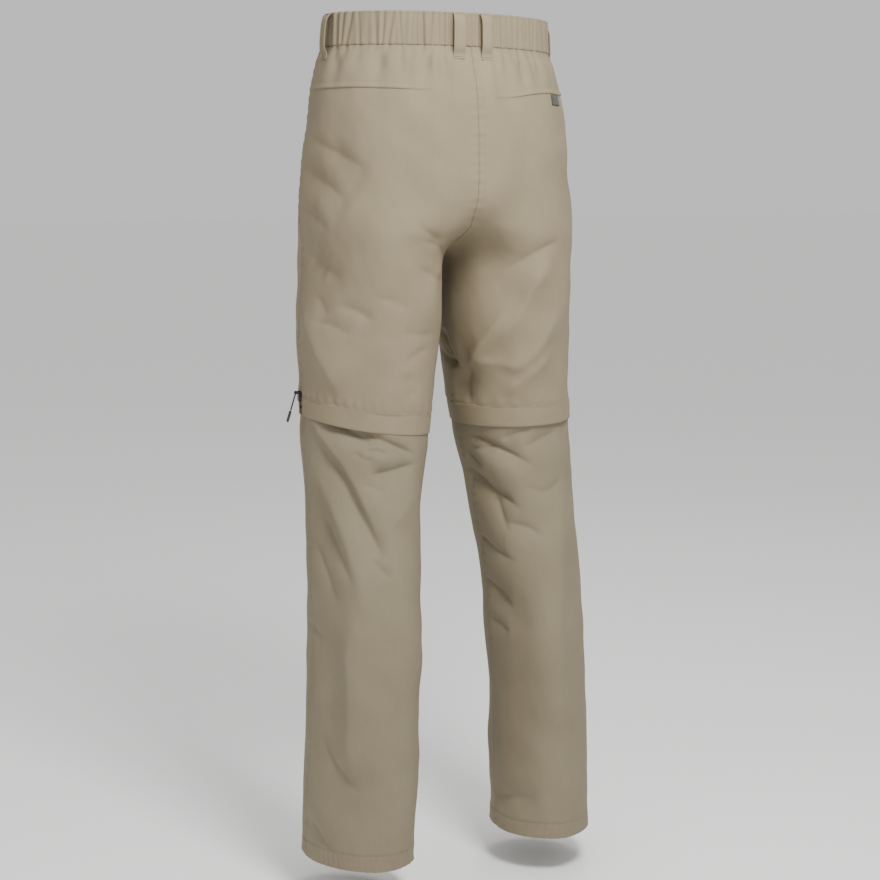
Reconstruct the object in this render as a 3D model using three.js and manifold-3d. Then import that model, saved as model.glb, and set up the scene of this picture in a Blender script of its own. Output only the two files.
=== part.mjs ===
import * as THREE from 'three';
import Module from 'manifold-3d';

// Convertible zip-off trousers, filled out as when worn, with no wearer inside. Millimetres, +Z up.
// The front faces -Y, the wearer's left is +X, and the origin is the middle of the waistband opening.
// The body is one smooth surface through a table of sections. Every cut piece is a wall on that
// surface, bent by a table of folds, and what lies on a panel is made from the panel's own points.

// General helpers

const LEFT = 1;
const RIGHT = -1;

const radians = (degrees) => degrees * Math.PI / 180;
const clamp = (value, low, high) => Math.min(high, Math.max(low, value));

function smooth(from, to, value) {
  const t = clamp((value - from) / (to - from), 0, 1);
  return t * t * (3 - 2 * t);
}

function spread(count, from, to) {
  return Array.from({ length: count }, (_, index) => from + (to - from) * index / (count - 1));
}

// Body: half the garment, the other half is its mirror image

const HEM_Z = -1017;
const SECTION_COLUMNS = ['z', 'centreX', 'centreY', 'halfWidth', 'halfDepth', 'turn'];
const SECTIONS = [
  [30, 0, 2, 143.5, 114, 0],
  [20, 0, 2, 143.5, 114, 0],
  [-20, 0, 0, 147, 117, 0],
  [-34, 0, 1, 152, 122, 0],
  [-62, 0, 3, 159, 128.5, 0],
  [-110, 0, 4, 167, 134, 0],
  [-160, 8, 3, 169.5, 138, 0],
  [-200, 32, 2, 148, 137, 0],
  [-230, 63, 1, 113.5, 131, 1],
  [-250, 81.5, 1, 92, 126, 2],
  [-275, 90.5, 1, 83, 120.5, 3],
  [-337, 93, 3, 82, 110.5, 6],
  [-400, 96.5, 4, 80.5, 102, 9],
  [-462, 101, 7, 77.5, 94, 11],
  [-512, 105.5, 13, 73, 87, 12],
  [-587, 113, 26, 67, 82.5, 12],
  [-712, 121.5, 45, 62, 86, 12],
  [-837, 128, 49, 61.5, 85.5, 12],
  [-962, 132.5, 46, 63, 86, 12],
  [HEM_Z, 134, 44.5, 64, 86.5, 12],
  [-1060, 135, 43, 64, 86.5, 12],
];
const LEG_BLEND = 7;          // how sharply the two leg ellipses join at the middle plane
const STRIDE = 10;            // the left leg stands this far back and the right leg forward
const STEPS = 44;             // halvings in each search along a line

// Row values at a height, on smooth curves through the table
function sectionAt(z) {
  const last = SECTIONS.length - 1;
  const height = clamp(z, SECTIONS[last][0], SECTIONS[0][0]);
  let upper = 0;
  while (upper < last - 1 && SECTIONS[upper + 1][0] > height) {
    upper += 1;
  }
  const slope = (row, column) => {
    const before = SECTIONS[Math.max(row - 1, 0)];
    const after = SECTIONS[Math.min(row + 1, last)];
    return (after[column] - before[column]) / (after[0] - before[0]);
  };
  const a = SECTIONS[upper];
  const b = SECTIONS[upper + 1];
  const run = b[0] - a[0];
  const t = (height - a[0]) / run;
  const section = {};
  SECTION_COLUMNS.forEach((name, column) => {
    section[name] = (2 * t ** 3 - 3 * t ** 2 + 1) * a[column]
      + (t ** 3 - 2 * t ** 2 + t) * run * slope(upper, column)
      + (3 * t ** 2 - 2 * t ** 3) * b[column]
      + (t ** 3 - t ** 2) * run * slope(upper + 1, column);
  });
  return section;
}

// Under 1 inside the section, over 1 outside it
function reach(x, y, section) {
  const cos = Math.cos(radians(section.turn));
  const sin = Math.sin(radians(section.turn));
  const ellipse = (dx, dy) => {
    const across = (dx * cos + dy * sin) / section.halfWidth;
    const along = (dy * cos - dx * sin) / section.halfDepth;
    return across * across + along * along;
  };
  const own = ellipse(x - section.centreX, y - section.centreY);
  const other = ellipse(-x - section.centreX, y - section.centreY);
  const shared = Math.exp(-((2 * section.centreX / section.halfWidth) ** 2));
  const least = Math.min(own, other);
  const sum = Math.exp(-LEG_BLEND * (own - least)) + Math.exp(-LEG_BLEND * (other - least));
  return least - Math.log(sum) / LEG_BLEND + Math.log1p(shared) / LEG_BLEND;
}

function longestInside(isInside, limit) {
  let low = 0;
  let high = limit;
  for (let step = 0; step < STEPS; step += 1) {
    const middle = (low + high) / 2;
    if (isInside(middle)) {
      low = middle;
    } else {
      high = middle;
    }
  }
  return low;
}

// Distance from the section's centre to its edge on the middle plane, 0 where the legs are parted
function middleReach(section, side) {
  if (reach(0, section.centreY, section) >= 1) {
    return 0;
  }
  return longestInside((far) => reach(0, section.centreY + side * far, section) < 1, 400);
}

// The height at which the legs part
const MERGED_Z = -200;
const crotchZ = MERGED_Z - longestInside((drop) => {
  const section = sectionAt(MERGED_Z - drop);
  return reach(0, section.centreY, section) < 1;
}, 120);

// The angle from the outer side at which u lies. It reaches the middle plane or the inseam at u = 1,
// and away from there it changes slowly with height, so that no column slides round at the crotch
const SLIDE_POWER = 6;

function ringAngle(z, section, u) {
  const side = u < 0 ? -1 : 1;
  const whole = Math.PI / 2 + Math.atan2(section.centreX, Math.max(middleReach(section, side), 1e-9));
  const even = Math.PI / 2 * (1 + smooth(-150, -330, z));
  const share = Math.abs(u);
  return even * share + (whole - even) * share ** SLIDE_POWER;
}

// A point of the left half: u is 0 at the outer side, 1 at the back middle or inseam, -1 at the front
function halfPoint(z, u) {
  const section = sectionAt(z);
  const side = u < 0 ? -1 : 1;
  const angle = ringAngle(z, section, u);
  const dx = Math.cos(angle);
  const dy = side * Math.sin(angle);
  const limit = dx < -1e-9 ? section.centreX / -dx + 1e-6 : 400;
  const inside = (far) => reach(section.centreX + far * dx, section.centreY + far * dy, section) < 1;
  const far = longestInside(inside, limit);
  return {
    point: new THREE.Vector3(section.centreX + far * dx, section.centreY + far * dy, z),
    turn: 90 - side * angle * 180 / Math.PI,
  };
}

// The u at a turn in degrees: 0 is the back of the leg, 90 its outer side, -90 its inseam
function turnToU(z, turn) {
  const section = sectionAt(z);
  const side = turn > 90 ? -1 : 1;
  const angle = radians(Math.abs(90 - turn));
  return side * longestInside((share) => ringAngle(z, section, side * share) < angle, 1.25);
}

// Posture: where the waist line and the knee zips lie off the level, and the stride

const WAIST_SLOPE = 0.02;     // the waistband stands a little higher at the wearer's left
const FRONT_DROP = 16;        // the waistband dips to the front
const KNEE = {
  [LEFT]: { middle: -467, tilt: 11 },
  [RIGHT]: { middle: -470, tilt: 3 },
};
const KNEE_HIGH_TURN = 115;   // each knee zip is highest here, at the front of the outer side
const KNEE_LEVEL = -470;

function rise(leg, z, half) {
  const waist = smooth(-130, -25, z);
  const slope = WAIST_SLOPE * leg * half.point.x - FRONT_DROP * smooth(80, 180, half.turn);
  const knee = smooth(-290, -445, z) * smooth(-680, -495, z);
  const tilt = KNEE[leg].tilt * Math.cos(radians(half.turn - KNEE_HIGH_TURN));
  return waist * slope + knee * (KNEE[leg].middle - KNEE_LEVEL + tilt);
}

// Past the end of its half a point goes on over the middle plane, or once more round a parted leg
function bodyPoint(leg, z, u) {
  const past = Math.abs(u) > 1;
  const parted = z < crotchZ;
  const wrapped = past ? (parted ? u : -u) - (parted ? 2 : -2) * Math.sign(u) : u;
  const half = halfPoint(z, wrapped);
  const side = past && !parted ? -leg : leg;
  const raised = z + rise(side, z, half);
  const forward = STRIDE * smooth(-400, -800, z) * side;
  return new THREE.Vector3(side * half.point.x, half.point.y + forward, raised);
}

const SAMPLE = 2e-3;

function bodyNormal(leg, z, u, surface = bodyPoint) {
  const around = surface(leg, z, u + SAMPLE).sub(surface(leg, z, u - SAMPLE));
  const down = surface(leg, z - 1, u).sub(surface(leg, z + 1, u));
  return around.cross(down).multiplyScalar(-leg).normalize();
}

// Folds: the larger creases and ridges, each a soft line along points given as height and turn

const FOLD_COLUMNS = ['leg', 'width', 'height', 'line'];
const FOLDS = [
  [LEFT, 22, -5, [[-134, 79], [-161, 64], [-180, 50]]],
  [LEFT, 24, -4.5, [[-158, 95], [-194, 70], [-214, 52]]],
  [LEFT, 22, -4, [[-266, 84], [-290, 59]]],
  [LEFT, 30, 4, [[-310, 100], [-401, 61], [-440, 40]]],
  [LEFT, 22, -4, [[-236, 9], [-272, -12], [-300, -30]]],
  [LEFT, 20, -5, [[-474, 76], [-486, 37], [-504, 8]]],
  [LEFT, 17, 4, [[-494, 40], [-512, 10], [-522, -20]]],
  [LEFT, 18, -4.5, [[-538, 20], [-528, 0], [-515, -24]]],
  [LEFT, 30, -5.5, [[-495, 77], [-530, 42], [-580, 22], [-650, 4]]],
  [LEFT, 28, 4, [[-520, 66], [-580, 42], [-668, 31], [-760, 34], [-842, 31], [-925, 24]]],
  [LEFT, 22, -4, [[-560, 96], [-611, 66], [-668, 52]]],
  [LEFT, 24, -3.5, [[-725, 88], [-790, 60], [-872, 52]]],
  [LEFT, 18, -4, [[-955, 104], [-977, 92], [-996, 61]]],
  [LEFT, 20, -4, [[-484, 150], [-500, 180], [-508, 215]]],
  [LEFT, 24, -4, [[-520, 214], [-556, 188], [-610, 160]]],
  [RIGHT, 26, -4, [[-252, -40], [-300, -25], [-340, -5]]],
  [RIGHT, 24, -4, [[-293, -30], [-263, 2], [-240, 26]]],
  [RIGHT, 26, 3.5, [[-413, -26], [-362, 1], [-310, 30]]],
  [RIGHT, 24, -4.5, [[-374, -40], [-416, -66], [-446, -88]]],
  [RIGHT, 20, -5, [[-491, -73], [-506, -48], [-533, -9]]],
  [RIGHT, 18, 4, [[-497, -76], [-520, -48], [-552, -12]]],
  [RIGHT, 20, -4.5, [[-546, -97], [-557, -73], [-587, -29]]],
  [RIGHT, 18, -4, [[-506, -15], [-494, 16], [-498, 46]]],
  [RIGHT, 20, -4, [[-614, -45], [-612, -15], [-580, 20]]],
  [RIGHT, 26, 3.5, [[-620, -30], [-720, -20], [-820, -12], [-900, -8]]],
  [RIGHT, 22, -4, [[-700, -82], [-716, -51], [-760, -30]]],
  [RIGHT, 20, -4, [[-976, -93], [-965, -50], [-968, -20]]],
  [RIGHT, 20, -4, [[-484, 148], [-502, 176], [-512, 210]]],
  [RIGHT, 24, -4, [[-540, 100], [-600, 128], [-660, 150]]],
];
const LINE_STEPS = 10;        // straight steps between two given points of a fold
const FOLD_END = 0.3;         // share of a fold over which it dies out at each end

const folds = FOLDS.map((row) => {
  const fold = Object.fromEntries(FOLD_COLUMNS.map((name, index) => [name, row[index]]));
  const curve = new THREE.CatmullRomCurve3(fold.line.map(([z, turn]) => new THREE.Vector3(z, turn, 0)));
  const steps = LINE_STEPS * (fold.line.length - 1);
  fold.path = curve.getPoints(steps).map(({ x: z, y: turn }) => bodyPoint(fold.leg, z, turnToU(z, turn)));
  return fold;
});

function foldHeight(leg, place) {
  let total = 0;
  for (const fold of folds) {
    if (fold.leg === leg) {
      let nearest = Infinity;
      let share = 0;
      fold.path.forEach((point, index) => {
        const distance = point.distanceTo(place);
        if (distance < nearest) {
          nearest = distance;
          share = index / (fold.path.length - 1);
        }
      });
      const ends = smooth(0, FOLD_END, share) * smooth(1, 1 - FOLD_END, share);
      total += fold.height * ends * Math.exp(-((nearest / fold.width) ** 2));
    }
  }
  return total;
}

// The folded cloth leaves the seams at the waist, the crotch and the knee where they are
function clothPoint(leg, z, u) {
  const place = bodyPoint(leg, z, u);
  const offMiddle = Math.max(smooth(1, 0.88, Math.abs(u)), smooth(-275, -315, z));
  const calm = smooth(-30, -90, z) * offMiddle * smooth(2, 14, Math.abs(z - KNEE_LEVEL));
  const height = foldHeight(leg, place) * calm;
  const below = smooth(-540, KNEE_LEVEL, z) * (z < KNEE_LEVEL ? 1 : 0);
  return place.addScaledVector(bodyNormal(leg, z, u), height - LOWER_INSET * below);
}

// Walls: every piece is a grid of outer points and a grid of inner points, joined round the edge

function wallMesh(name, material, outer, inner) {
  const rows = outer.length;
  const columns = outer[0].length;
  const points = [...outer.flat(), ...inner.flat()];
  const far = rows * columns;
  const at = (row, column) => row * columns + column;
  const faces = [];
  const quad = (a, b, c, d) => faces.push([a, b, c], [a, c, d]);
  for (let row = 0; row < rows - 1; row += 1) {
    for (let column = 0; column < columns - 1; column += 1) {
      const a = at(row, column);
      const b = at(row, column + 1);
      const c = at(row + 1, column + 1);
      const d = at(row + 1, column);
      quad(a, b, c, d);
      quad(far + a, far + d, far + c, far + b);
    }
  }
  for (let column = 0; column < columns - 1; column += 1) {
    const top = at(0, column);
    const bottom = at(rows - 1, column);
    quad(top, far + top, far + top + 1, top + 1);
    quad(bottom, bottom + 1, far + bottom + 1, far + bottom);
  }
  for (let row = 0; row < rows - 1; row += 1) {
    const start = at(row, 0);
    const end = at(row, columns - 1);
    quad(start, start + columns, far + start + columns, far + start);
    quad(end, far + end, far + end + columns, end + columns);
  }
  const volume = faces.reduce((sum, [a, b, c]) => {
    return sum + points[a].dot(new THREE.Vector3().crossVectors(points[b], points[c])) / 6;
  }, 0);
  const facing = volume > 0 ? faces : faces.map(([a, b, c]) => [a, c, b]);
  const geometry = new THREE.BufferGeometry();
  const positions = points.flatMap((point) => [point.x, point.y, point.z]);
  geometry.setAttribute('position', new THREE.Float32BufferAttribute(positions, 3));
  geometry.setIndex(facing.flat());
  geometry.computeVertexNormals();
  const mesh = new THREE.Mesh(geometry, material);
  mesh.name = name;
  return mesh;
}

// A piece on the cloth: heights from the top down, u along each height, how far out each face lies,
// and how far the piece dips along its length
function clothWall({ name, material, leg, heights, uAt, columns, outerAt, thicknessAt, dipAt = () => 0 }) {
  const outer = [];
  const inner = [];
  for (const height of heights) {
    const outerRow = [];
    const innerRow = [];
    for (let column = 0; column < columns; column += 1) {
      const share = column / (columns - 1);
      const z = height - dipAt(share);
      const u = uAt(z, share);
      const place = clothPoint(leg, z, u);
      const normal = bodyNormal(leg, z, u, clothPoint);
      const out = outerAt(z, share);
      outerRow.push(place.clone().addScaledVector(normal, out));
      innerRow.push(place.clone().addScaledVector(normal, out - thicknessAt(z, share)));
    }
    outer.push(outerRow);
    inner.push(innerRow);
  }
  return wallMesh(name, material, outer, inner);
}

// Materials, with the colours of the photo

const cloth = (color) => new THREE.MeshStandardMaterial({ color, roughness: 0.85, metalness: 0 });
const MATERIALS = {
  shell: cloth('#a89c8a'),
  lower: cloth('#a29682'),
  band: cloth('#ab9f8e'),
  tape: cloth('#7d7464'),
  tab: cloth('#57584f'),
  button: new THREE.MeshStandardMaterial({ color: '#8a7f6c', roughness: 0.5, metalness: 0 }),
  metal: new THREE.MeshStandardMaterial({ color: '#7c7b76', roughness: 0.35, metalness: 0.9 }),
};

// Sizes of the cut pieces

const WALL = 1.6;             // cloth wall of the panels
const SEAM_GAP = 0.3;
const SIDE_TURN = 106;        // the side seams run a little forward of the outer side
const SEAT_SEAM_X = 7;        // the centre back seam is drawn over to the wearer's left
const LOWER_INSET = 1.6;      // the lower leg hangs this far inside the shorts at the zip
const BAND_TOP = 21;
const BAND_BOTTOM = -19;
const ZIP_HALF = 3.8;         // half the height of the zip tape that shows between the legs
const BACK_COLUMNS = 14;
const FRONT_COLUMNS = 12;

// Heights of the panel rows: close together at the crotch and round the knee
const UPPER_HEIGHTS = [
  BAND_BOTTOM - SEAM_GAP, -26, -36, -50, -70, -95, -122, -148, -172, -194, -212, -226, -237, -246,
  -254, crotchZ + 3, crotchZ + 0.2, crotchZ - 5, -278, -298, -322, -346, -370, -392, -412,
  -430, -444, -456, KNEE_LEVEL + ZIP_HALF + SEAM_GAP,
];
const LOWER_HEIGHTS = [
  KNEE_LEVEL - ZIP_HALF - SEAM_GAP, -480, -488, -497, -507, -518, -530, -542, -555, -569, -584, -601,
  -620, -644, -672, -704, -738, -774, -810, -845, -878, -908, -934, -955, -973, -988, -999, -1008, HEM_Z,
];

function gapInU(leg, z, u) {
  const step = u > 0 ? -SAMPLE : SAMPLE;
  const speed = bodyPoint(leg, z, u).distanceTo(bodyPoint(leg, z, u + step)) / SAMPLE;
  return SEAM_GAP / 2 / speed;
}

function seatSeamU(leg, z) {
  const drawn = SEAT_SEAM_X * leg * smooth(crotchZ + 6, -215, z);
  const speed = bodyPoint(leg, z, 1).distanceTo(bodyPoint(leg, z, 1 - SAMPLE)) / SAMPLE;
  return 1 - drawn / speed;
}

const sideU = (z) => turnToU(z, SIDE_TURN);

function backPanel(name, leg, heights, material) {
  const uAt = (z, share) => {
    const start = sideU(z) + gapInU(leg, z, sideU(z));
    const end = seatSeamU(leg, z) - gapInU(leg, z, 1);
    return start + (end - start) * share;
  };
  return clothWall({
    name, material, leg, heights, uAt, columns: BACK_COLUMNS, outerAt: () => 0, thicknessAt: hemmed,
  });
}

function frontPanel(name, leg, heights, material) {
  const uAt = (z, share) => {
    const start = sideU(z) - gapInU(leg, z, sideU(z));
    const end = -1 + gapInU(leg, z, -1);
    return start + (end - start) * share;
  };
  return clothWall({
    name, material, leg, heights, uAt, columns: FRONT_COLUMNS, outerAt: () => 0, thicknessAt: hemmed,
  });
}

// The turned-up hem is thicker than the leg above it
const hemmed = (z) => WALL + 0.8 * smooth(-990, -999, z);

// Waistband: one elastic piece round the back, drawn into gathers, and a plain piece on each side in
// front, the left one running past the middle to carry the button

const BAND_WALL = 2.4;
const BAND_OUT = 0.9;
const BACK_BAND_COLUMNS = 120;
const FRONT_BAND_COLUMNS = 14;
const BAND_HEIGHTS = [BAND_TOP, 1, BAND_BOTTOM];
const GATHER_COUNT = 33;      // full gathers across the elastic
const GATHER_HEIGHT = 0.75;
const OVERLAP_TURN = 12;      // the left band runs this many degrees past the middle

const lefthand = (turn) => (turn < 0 ? RIGHT : LEFT);

function bandPoint(turn, z, out) {
  const leg = lefthand(turn);
  const u = turnToU(z, Math.abs(turn));
  return bodyPoint(leg, z, u).addScaledVector(bodyNormal(leg, z, u), out);
}

// Uneven gathers: three waves of unlike length, dying out towards the side seams
function gather(turn) {
  const share = turn / SIDE_TURN;
  const wave = Math.sin(GATHER_COUNT * Math.PI * share)
    + 0.5 * Math.sin(GATHER_COUNT * 0.62 * Math.PI * share + 1.1)
    + 0.4 * Math.sin(GATHER_COUNT * 1.45 * Math.PI * share + 0.4);
  return GATHER_HEIGHT * wave * smooth(1, 0.86, Math.abs(share)) / 1.3;
}

function bandWall(name, turns, outAt) {
  const row = (z, depth) => turns.map((turn) => bandPoint(turn, z, outAt(turn) - depth));
  const outer = BAND_HEIGHTS.map((z) => row(z, 0));
  const inner = BAND_HEIGHTS.map((z) => row(z, BAND_WALL));
  return wallMesh(name, MATERIALS.band, outer, inner);
}

const SIDE_GAP_TURN = 0.08;   // half a seam gap, as a turn

function waistbands() {
  const back = spread(BACK_BAND_COLUMNS, SIDE_TURN - SIDE_GAP_TURN, SIDE_GAP_TURN - SIDE_TURN);
  const middleEnd = 180 - SIDE_GAP_TURN;
  const right = spread(FRONT_BAND_COLUMNS, -SIDE_TURN - SIDE_GAP_TURN, -middleEnd);
  const left = spread(FRONT_BAND_COLUMNS + 4, SIDE_TURN + SIDE_GAP_TURN, 180 + OVERLAP_TURN);
  const lap = (turn) => BAND_OUT + (BAND_WALL + SEAM_GAP + 0.1) * smooth(150, 176, turn);
  return [
    bandWall('waistband_back', back, (turn) => BAND_OUT + gather(turn)),
    bandWall('waistband_front_right', right, () => BAND_OUT),
    bandWall('waistband_front_left', left, lap),
  ];
}

// Belt loops: a strap tacked below the band and at its top, standing off between for the belt

const LOOP_WIDTH = 14;
const LOOP_WALL = 1.8;
const LOOP_COLUMNS = ['name', 'turn'];
const LOOPS = [
  ['belt_loop_back_left', 11.5],
  ['belt_loop_back_right', -5.5],
  ['belt_loop_side_left', 87],
  ['belt_loop_side_right', -87],
  ['belt_loop_front_left', 157.5],
  ['belt_loop_front_right', -157.5],
];
const LOOP_PATH_COLUMNS = ['z', 'out'];
const LOOP_PATH = [
  [-35, 0.5], [-31, 0.9], [-28, 2.4], [-25, 4.8], [-21, 7.6], [-14, 8.6], [-2, 8.6], [8, 8.3],
  [14, 6.8], [18, 4.2], [20.5, 2.3],
];

function beltLoop(name, turn) {
  const leg = lefthand(turn);
  const row = ([z, out], depth) => [-0.5, -0.17, 0.17, 0.5].map((across) => {
    const u = turnToU(z, Math.abs(turn));
    const centre = bodyPoint(leg, z, u);
    const normal = bodyNormal(leg, z, u);
    const flat = new THREE.Vector3(normal.x, normal.y, 0).normalize();
    const along = new THREE.Vector3(-flat.y, flat.x, 0);
    return centre.addScaledVector(flat, out + LOOP_WALL - depth).addScaledVector(along, across * LOOP_WIDTH);
  });
  const outer = LOOP_PATH.map((step) => row(step, 0));
  const inner = LOOP_PATH.map((step) => row(step, LOOP_WALL));
  return wallMesh(name, MATERIALS.band, outer, inner);
}

// Pieces on the panels: fly placket, back pocket welts and the plain woven tab

const ON_PANEL = 0.35;        // clear space between a panel and what is sewn on it

function patch({ name, material, leg, heights, turns, thickness, dipAt }) {
  return clothWall({
    name,
    material,
    leg,
    heights,
    dipAt,
    columns: turns.length,
    uAt: (z, share) => turnToU(z, turns[Math.round(share * (turns.length - 1))]),
    outerAt: () => ON_PANEL + thickness,
    thicknessAt: () => thickness,
  });
}

const WELT_HEIGHT = 6.5;
const WELT_WALL = 1.1;
const WELT_COLUMN_COUNT = 14;
const WELT_COLUMNS = ['name', 'leg', 'top', 'fromTurn', 'toTurn', 'dip'];
const WELTS = [
  ['pocket_welt_left', LEFT, -63, 97, 27, 2],
  ['pocket_welt_right', RIGHT, -64.5, 94, 9, 9],
];
const PLACKET = { edge: 0.5, width: 35, bottomWidth: 12, wall: 1.2, top: -21, curveFrom: -115, bottom: -165 };
const TAB = { fromTurn: 51, toTurn: 62, top: -72.5, bottom: -85, wall: 1 };

function welt(row) {
  const { name, leg, top, fromTurn, toTurn, dip } = Object.fromEntries(
    WELT_COLUMNS.map((column, index) => [column, row[index]]),
  );
  return patch({
    name,
    material: MATERIALS.shell,
    leg,
    heights: [top, top - WELT_HEIGHT],
    dipAt: (share) => dip * smooth(0.55, 1, share),
    turns: spread(WELT_COLUMN_COUNT, fromTurn, toTurn),
    thickness: WELT_WALL,
  });
}

// The fly's outer layer along the front middle, curved in to it at the bottom
function placket() {
  const speed = (z) => bodyPoint(LEFT, z, -1).distanceTo(bodyPoint(LEFT, z, -1 + SAMPLE)) / SAMPLE;
  const width = (z) => {
    const curve = smooth(PLACKET.curveFrom, PLACKET.bottom, z);
    return PLACKET.bottomWidth + (PLACKET.width - PLACKET.bottomWidth) * Math.sqrt(1 - curve * curve);
  };
  return clothWall({
    name: 'fly_placket',
    material: MATERIALS.shell,
    leg: LEFT,
    heights: [PLACKET.top, -36, -60, -90, PLACKET.curveFrom, -130, -145, -157, PLACKET.bottom],
    columns: 5,
    uAt: (z, share) => -1 + (PLACKET.edge + width(z) * share) / speed(z),
    outerAt: () => ON_PANEL + PLACKET.wall,
    thicknessAt: () => PLACKET.wall,
  });
}

function wovenTab() {
  return patch({
    name: 'woven_tab',
    material: MATERIALS.tab,
    leg: RIGHT,
    heights: spread(3, TAB.top, TAB.bottom),
    turns: spread(4, TAB.fromTurn, TAB.toTurn),
    thickness: TAB.wall,
  });
}

// Waist button: a turned disc on the lap of the left band

const BUTTON = { radius: 7.5, height: 2.6, turn: 184, z: 1, sides: 24 };

function waistButton() {
  const { radius, height, sides } = BUTTON;
  const button = new THREE.Mesh(new THREE.CylinderGeometry(radius, radius, height, sides), MATERIALS.button);
  button.name = 'waist_button';
  const lapOut = BAND_OUT + BAND_WALL + SEAM_GAP + 0.1;
  button.position.copy(bandPoint(BUTTON.turn, BUTTON.z, lapOut + 0.5 + height / 2));
  const out = bodyNormal(LEFT, BUTTON.z, turnToU(BUTTON.z, BUTTON.turn));
  button.quaternion.setFromUnitVectors(new THREE.Vector3(0, 1, 0), out);
  return button;
}

// Knee zips: a tape ring under a storm flap, both open at the side seam, where the slider parks

const FLAP_GAP_TURN = 5.5;    // half the opening of the flap, as a turn
const FLAP_COLUMNS = 38;
const TAPE_COLUMNS = 30;
const FLAP_HEIGHTS = [KNEE_LEVEL + 14, KNEE_LEVEL + 1, KNEE_LEVEL - 12];
const FLAP_WALL = 1.5;
const FLAP_OFF = 0.8;
const FLAP_FLARE = 1.4;       // how much further the flap's free edge stands off the lower leg

// Once round the leg, from one side of the side seam back to its other side
function roundLeg(z, share, gapTurn) {
  const back = turnToU(z, SIDE_TURN - gapTurn);
  const front = turnToU(z, SIDE_TURN + gapTurn);
  const all = (1 - back) + (1 + front);
  const u = back + all * share;
  return u <= 1 ? u : u - 2;
}

function kneeZip(side, leg) {
  const flap = clothWall({
    name: `storm_flap_${side}`,
    material: MATERIALS.shell,
    leg,
    heights: FLAP_HEIGHTS,
    columns: FLAP_COLUMNS,
    uAt: (z, share) => roundLeg(z, share, FLAP_GAP_TURN),
    outerAt: (z) => FLAP_WALL + FLAP_OFF + FLAP_FLARE * smooth(KNEE_LEVEL + 14, KNEE_LEVEL - 12, z),
    thicknessAt: () => FLAP_WALL,
  });
  const tape = clothWall({
    name: `zip_tape_${side}`,
    material: MATERIALS.tape,
    leg,
    heights: [KNEE_LEVEL + ZIP_HALF, KNEE_LEVEL - ZIP_HALF],
    columns: TAPE_COLUMNS,
    uAt: (z, share) => roundLeg(z, share, 0.2),
    outerAt: () => 0,
    thicknessAt: () => WALL,
  });
  return [flap, tape];
}

// Slider and pull: the slider lies on the side seam at the end of the zip, with a bar between two
// cheeks, and the pull's eye hangs on the bar with room to turn

const SLIDER = { width: 9, height: 13, depth: 2.6, corner: 2, off: 0.4, z: -458 };
const BAR = { radius: 0.8, out: 5.8, up: 4.2, cheek: 1.3, span: 5.4 };
const PULL = { eyeInner: 1.35, eyeOuter: 2.2, width: 4, thickness: 1.2, length: 23, lean: 17 };
const GRIP = { length: 15, radius: 1.7 };
const ROUND = 16;             // sides of the small round parts

const wasm = await Module();
wasm.setup();
const { Manifold, CrossSection } = wasm;

function solidMesh(name, material, solid) {
  const { vertProperties, triVerts, numProp } = solid.getMesh();
  const geometry = new THREE.BufferGeometry();
  geometry.setAttribute('position', new THREE.BufferAttribute(Float32Array.from(vertProperties), numProp));
  geometry.setIndex(Array.from(triVerts));
  geometry.computeVertexNormals();
  const mesh = new THREE.Mesh(geometry, material);
  mesh.name = name;
  return mesh;
}

// A round rod along the slider's own X, the direction across the zip
function rod(radius, length) {
  return Manifold.cylinder(length, radius, radius, ROUND, true).rotate([0, 90, 0]);
}

// X runs across the slider, Y out of the cloth and Z up
function sliderFrame(leg) {
  const u = turnToU(SLIDER.z, SIDE_TURN);
  const out = bodyNormal(leg, SLIDER.z, u);
  const across = out.clone().cross(new THREE.Vector3(0, 0, 1)).normalize();
  const up = across.clone().cross(out).normalize();
  return { origin: clothPoint(leg, SLIDER.z, u), across, out, up };
}

function setFrame(mesh, frame, out, up) {
  const basis = new THREE.Matrix4().makeBasis(frame.across, frame.out, frame.up);
  mesh.quaternion.setFromRotationMatrix(basis);
  mesh.position.copy(frame.origin).addScaledVector(frame.out, out).addScaledVector(frame.up, up);
}

function slider(side, leg) {
  const flat = [SLIDER.width - 2 * SLIDER.corner, SLIDER.height - 2 * SLIDER.corner];
  const outline = CrossSection.square(flat, true).offset(SLIDER.corner, 'Round', 2, ROUND);
  const body = outline.extrude(SLIDER.depth).rotate([-90, 0, 0]).translate([0, SLIDER.off, 0]);
  const reachOut = BAR.out + BAR.radius + 0.3 - SLIDER.off;
  const cheek = Manifold.cube([BAR.cheek, reachOut, 2.6], true);
  const cheeks = [-1, 1].map((end) => {
    const across = end * (BAR.span + BAR.cheek) / 2;
    return cheek.translate([across, SLIDER.off + reachOut / 2, BAR.up]);
  });
  const bar = rod(BAR.radius, BAR.span + BAR.cheek).translate([0, BAR.out, BAR.up]);
  const mesh = solidMesh(`zip_slider_${side}`, MATERIALS.metal, Manifold.union([body, ...cheeks, bar]));
  setFrame(mesh, sliderFrame(leg), 0, 0);
  return mesh;
}

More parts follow.
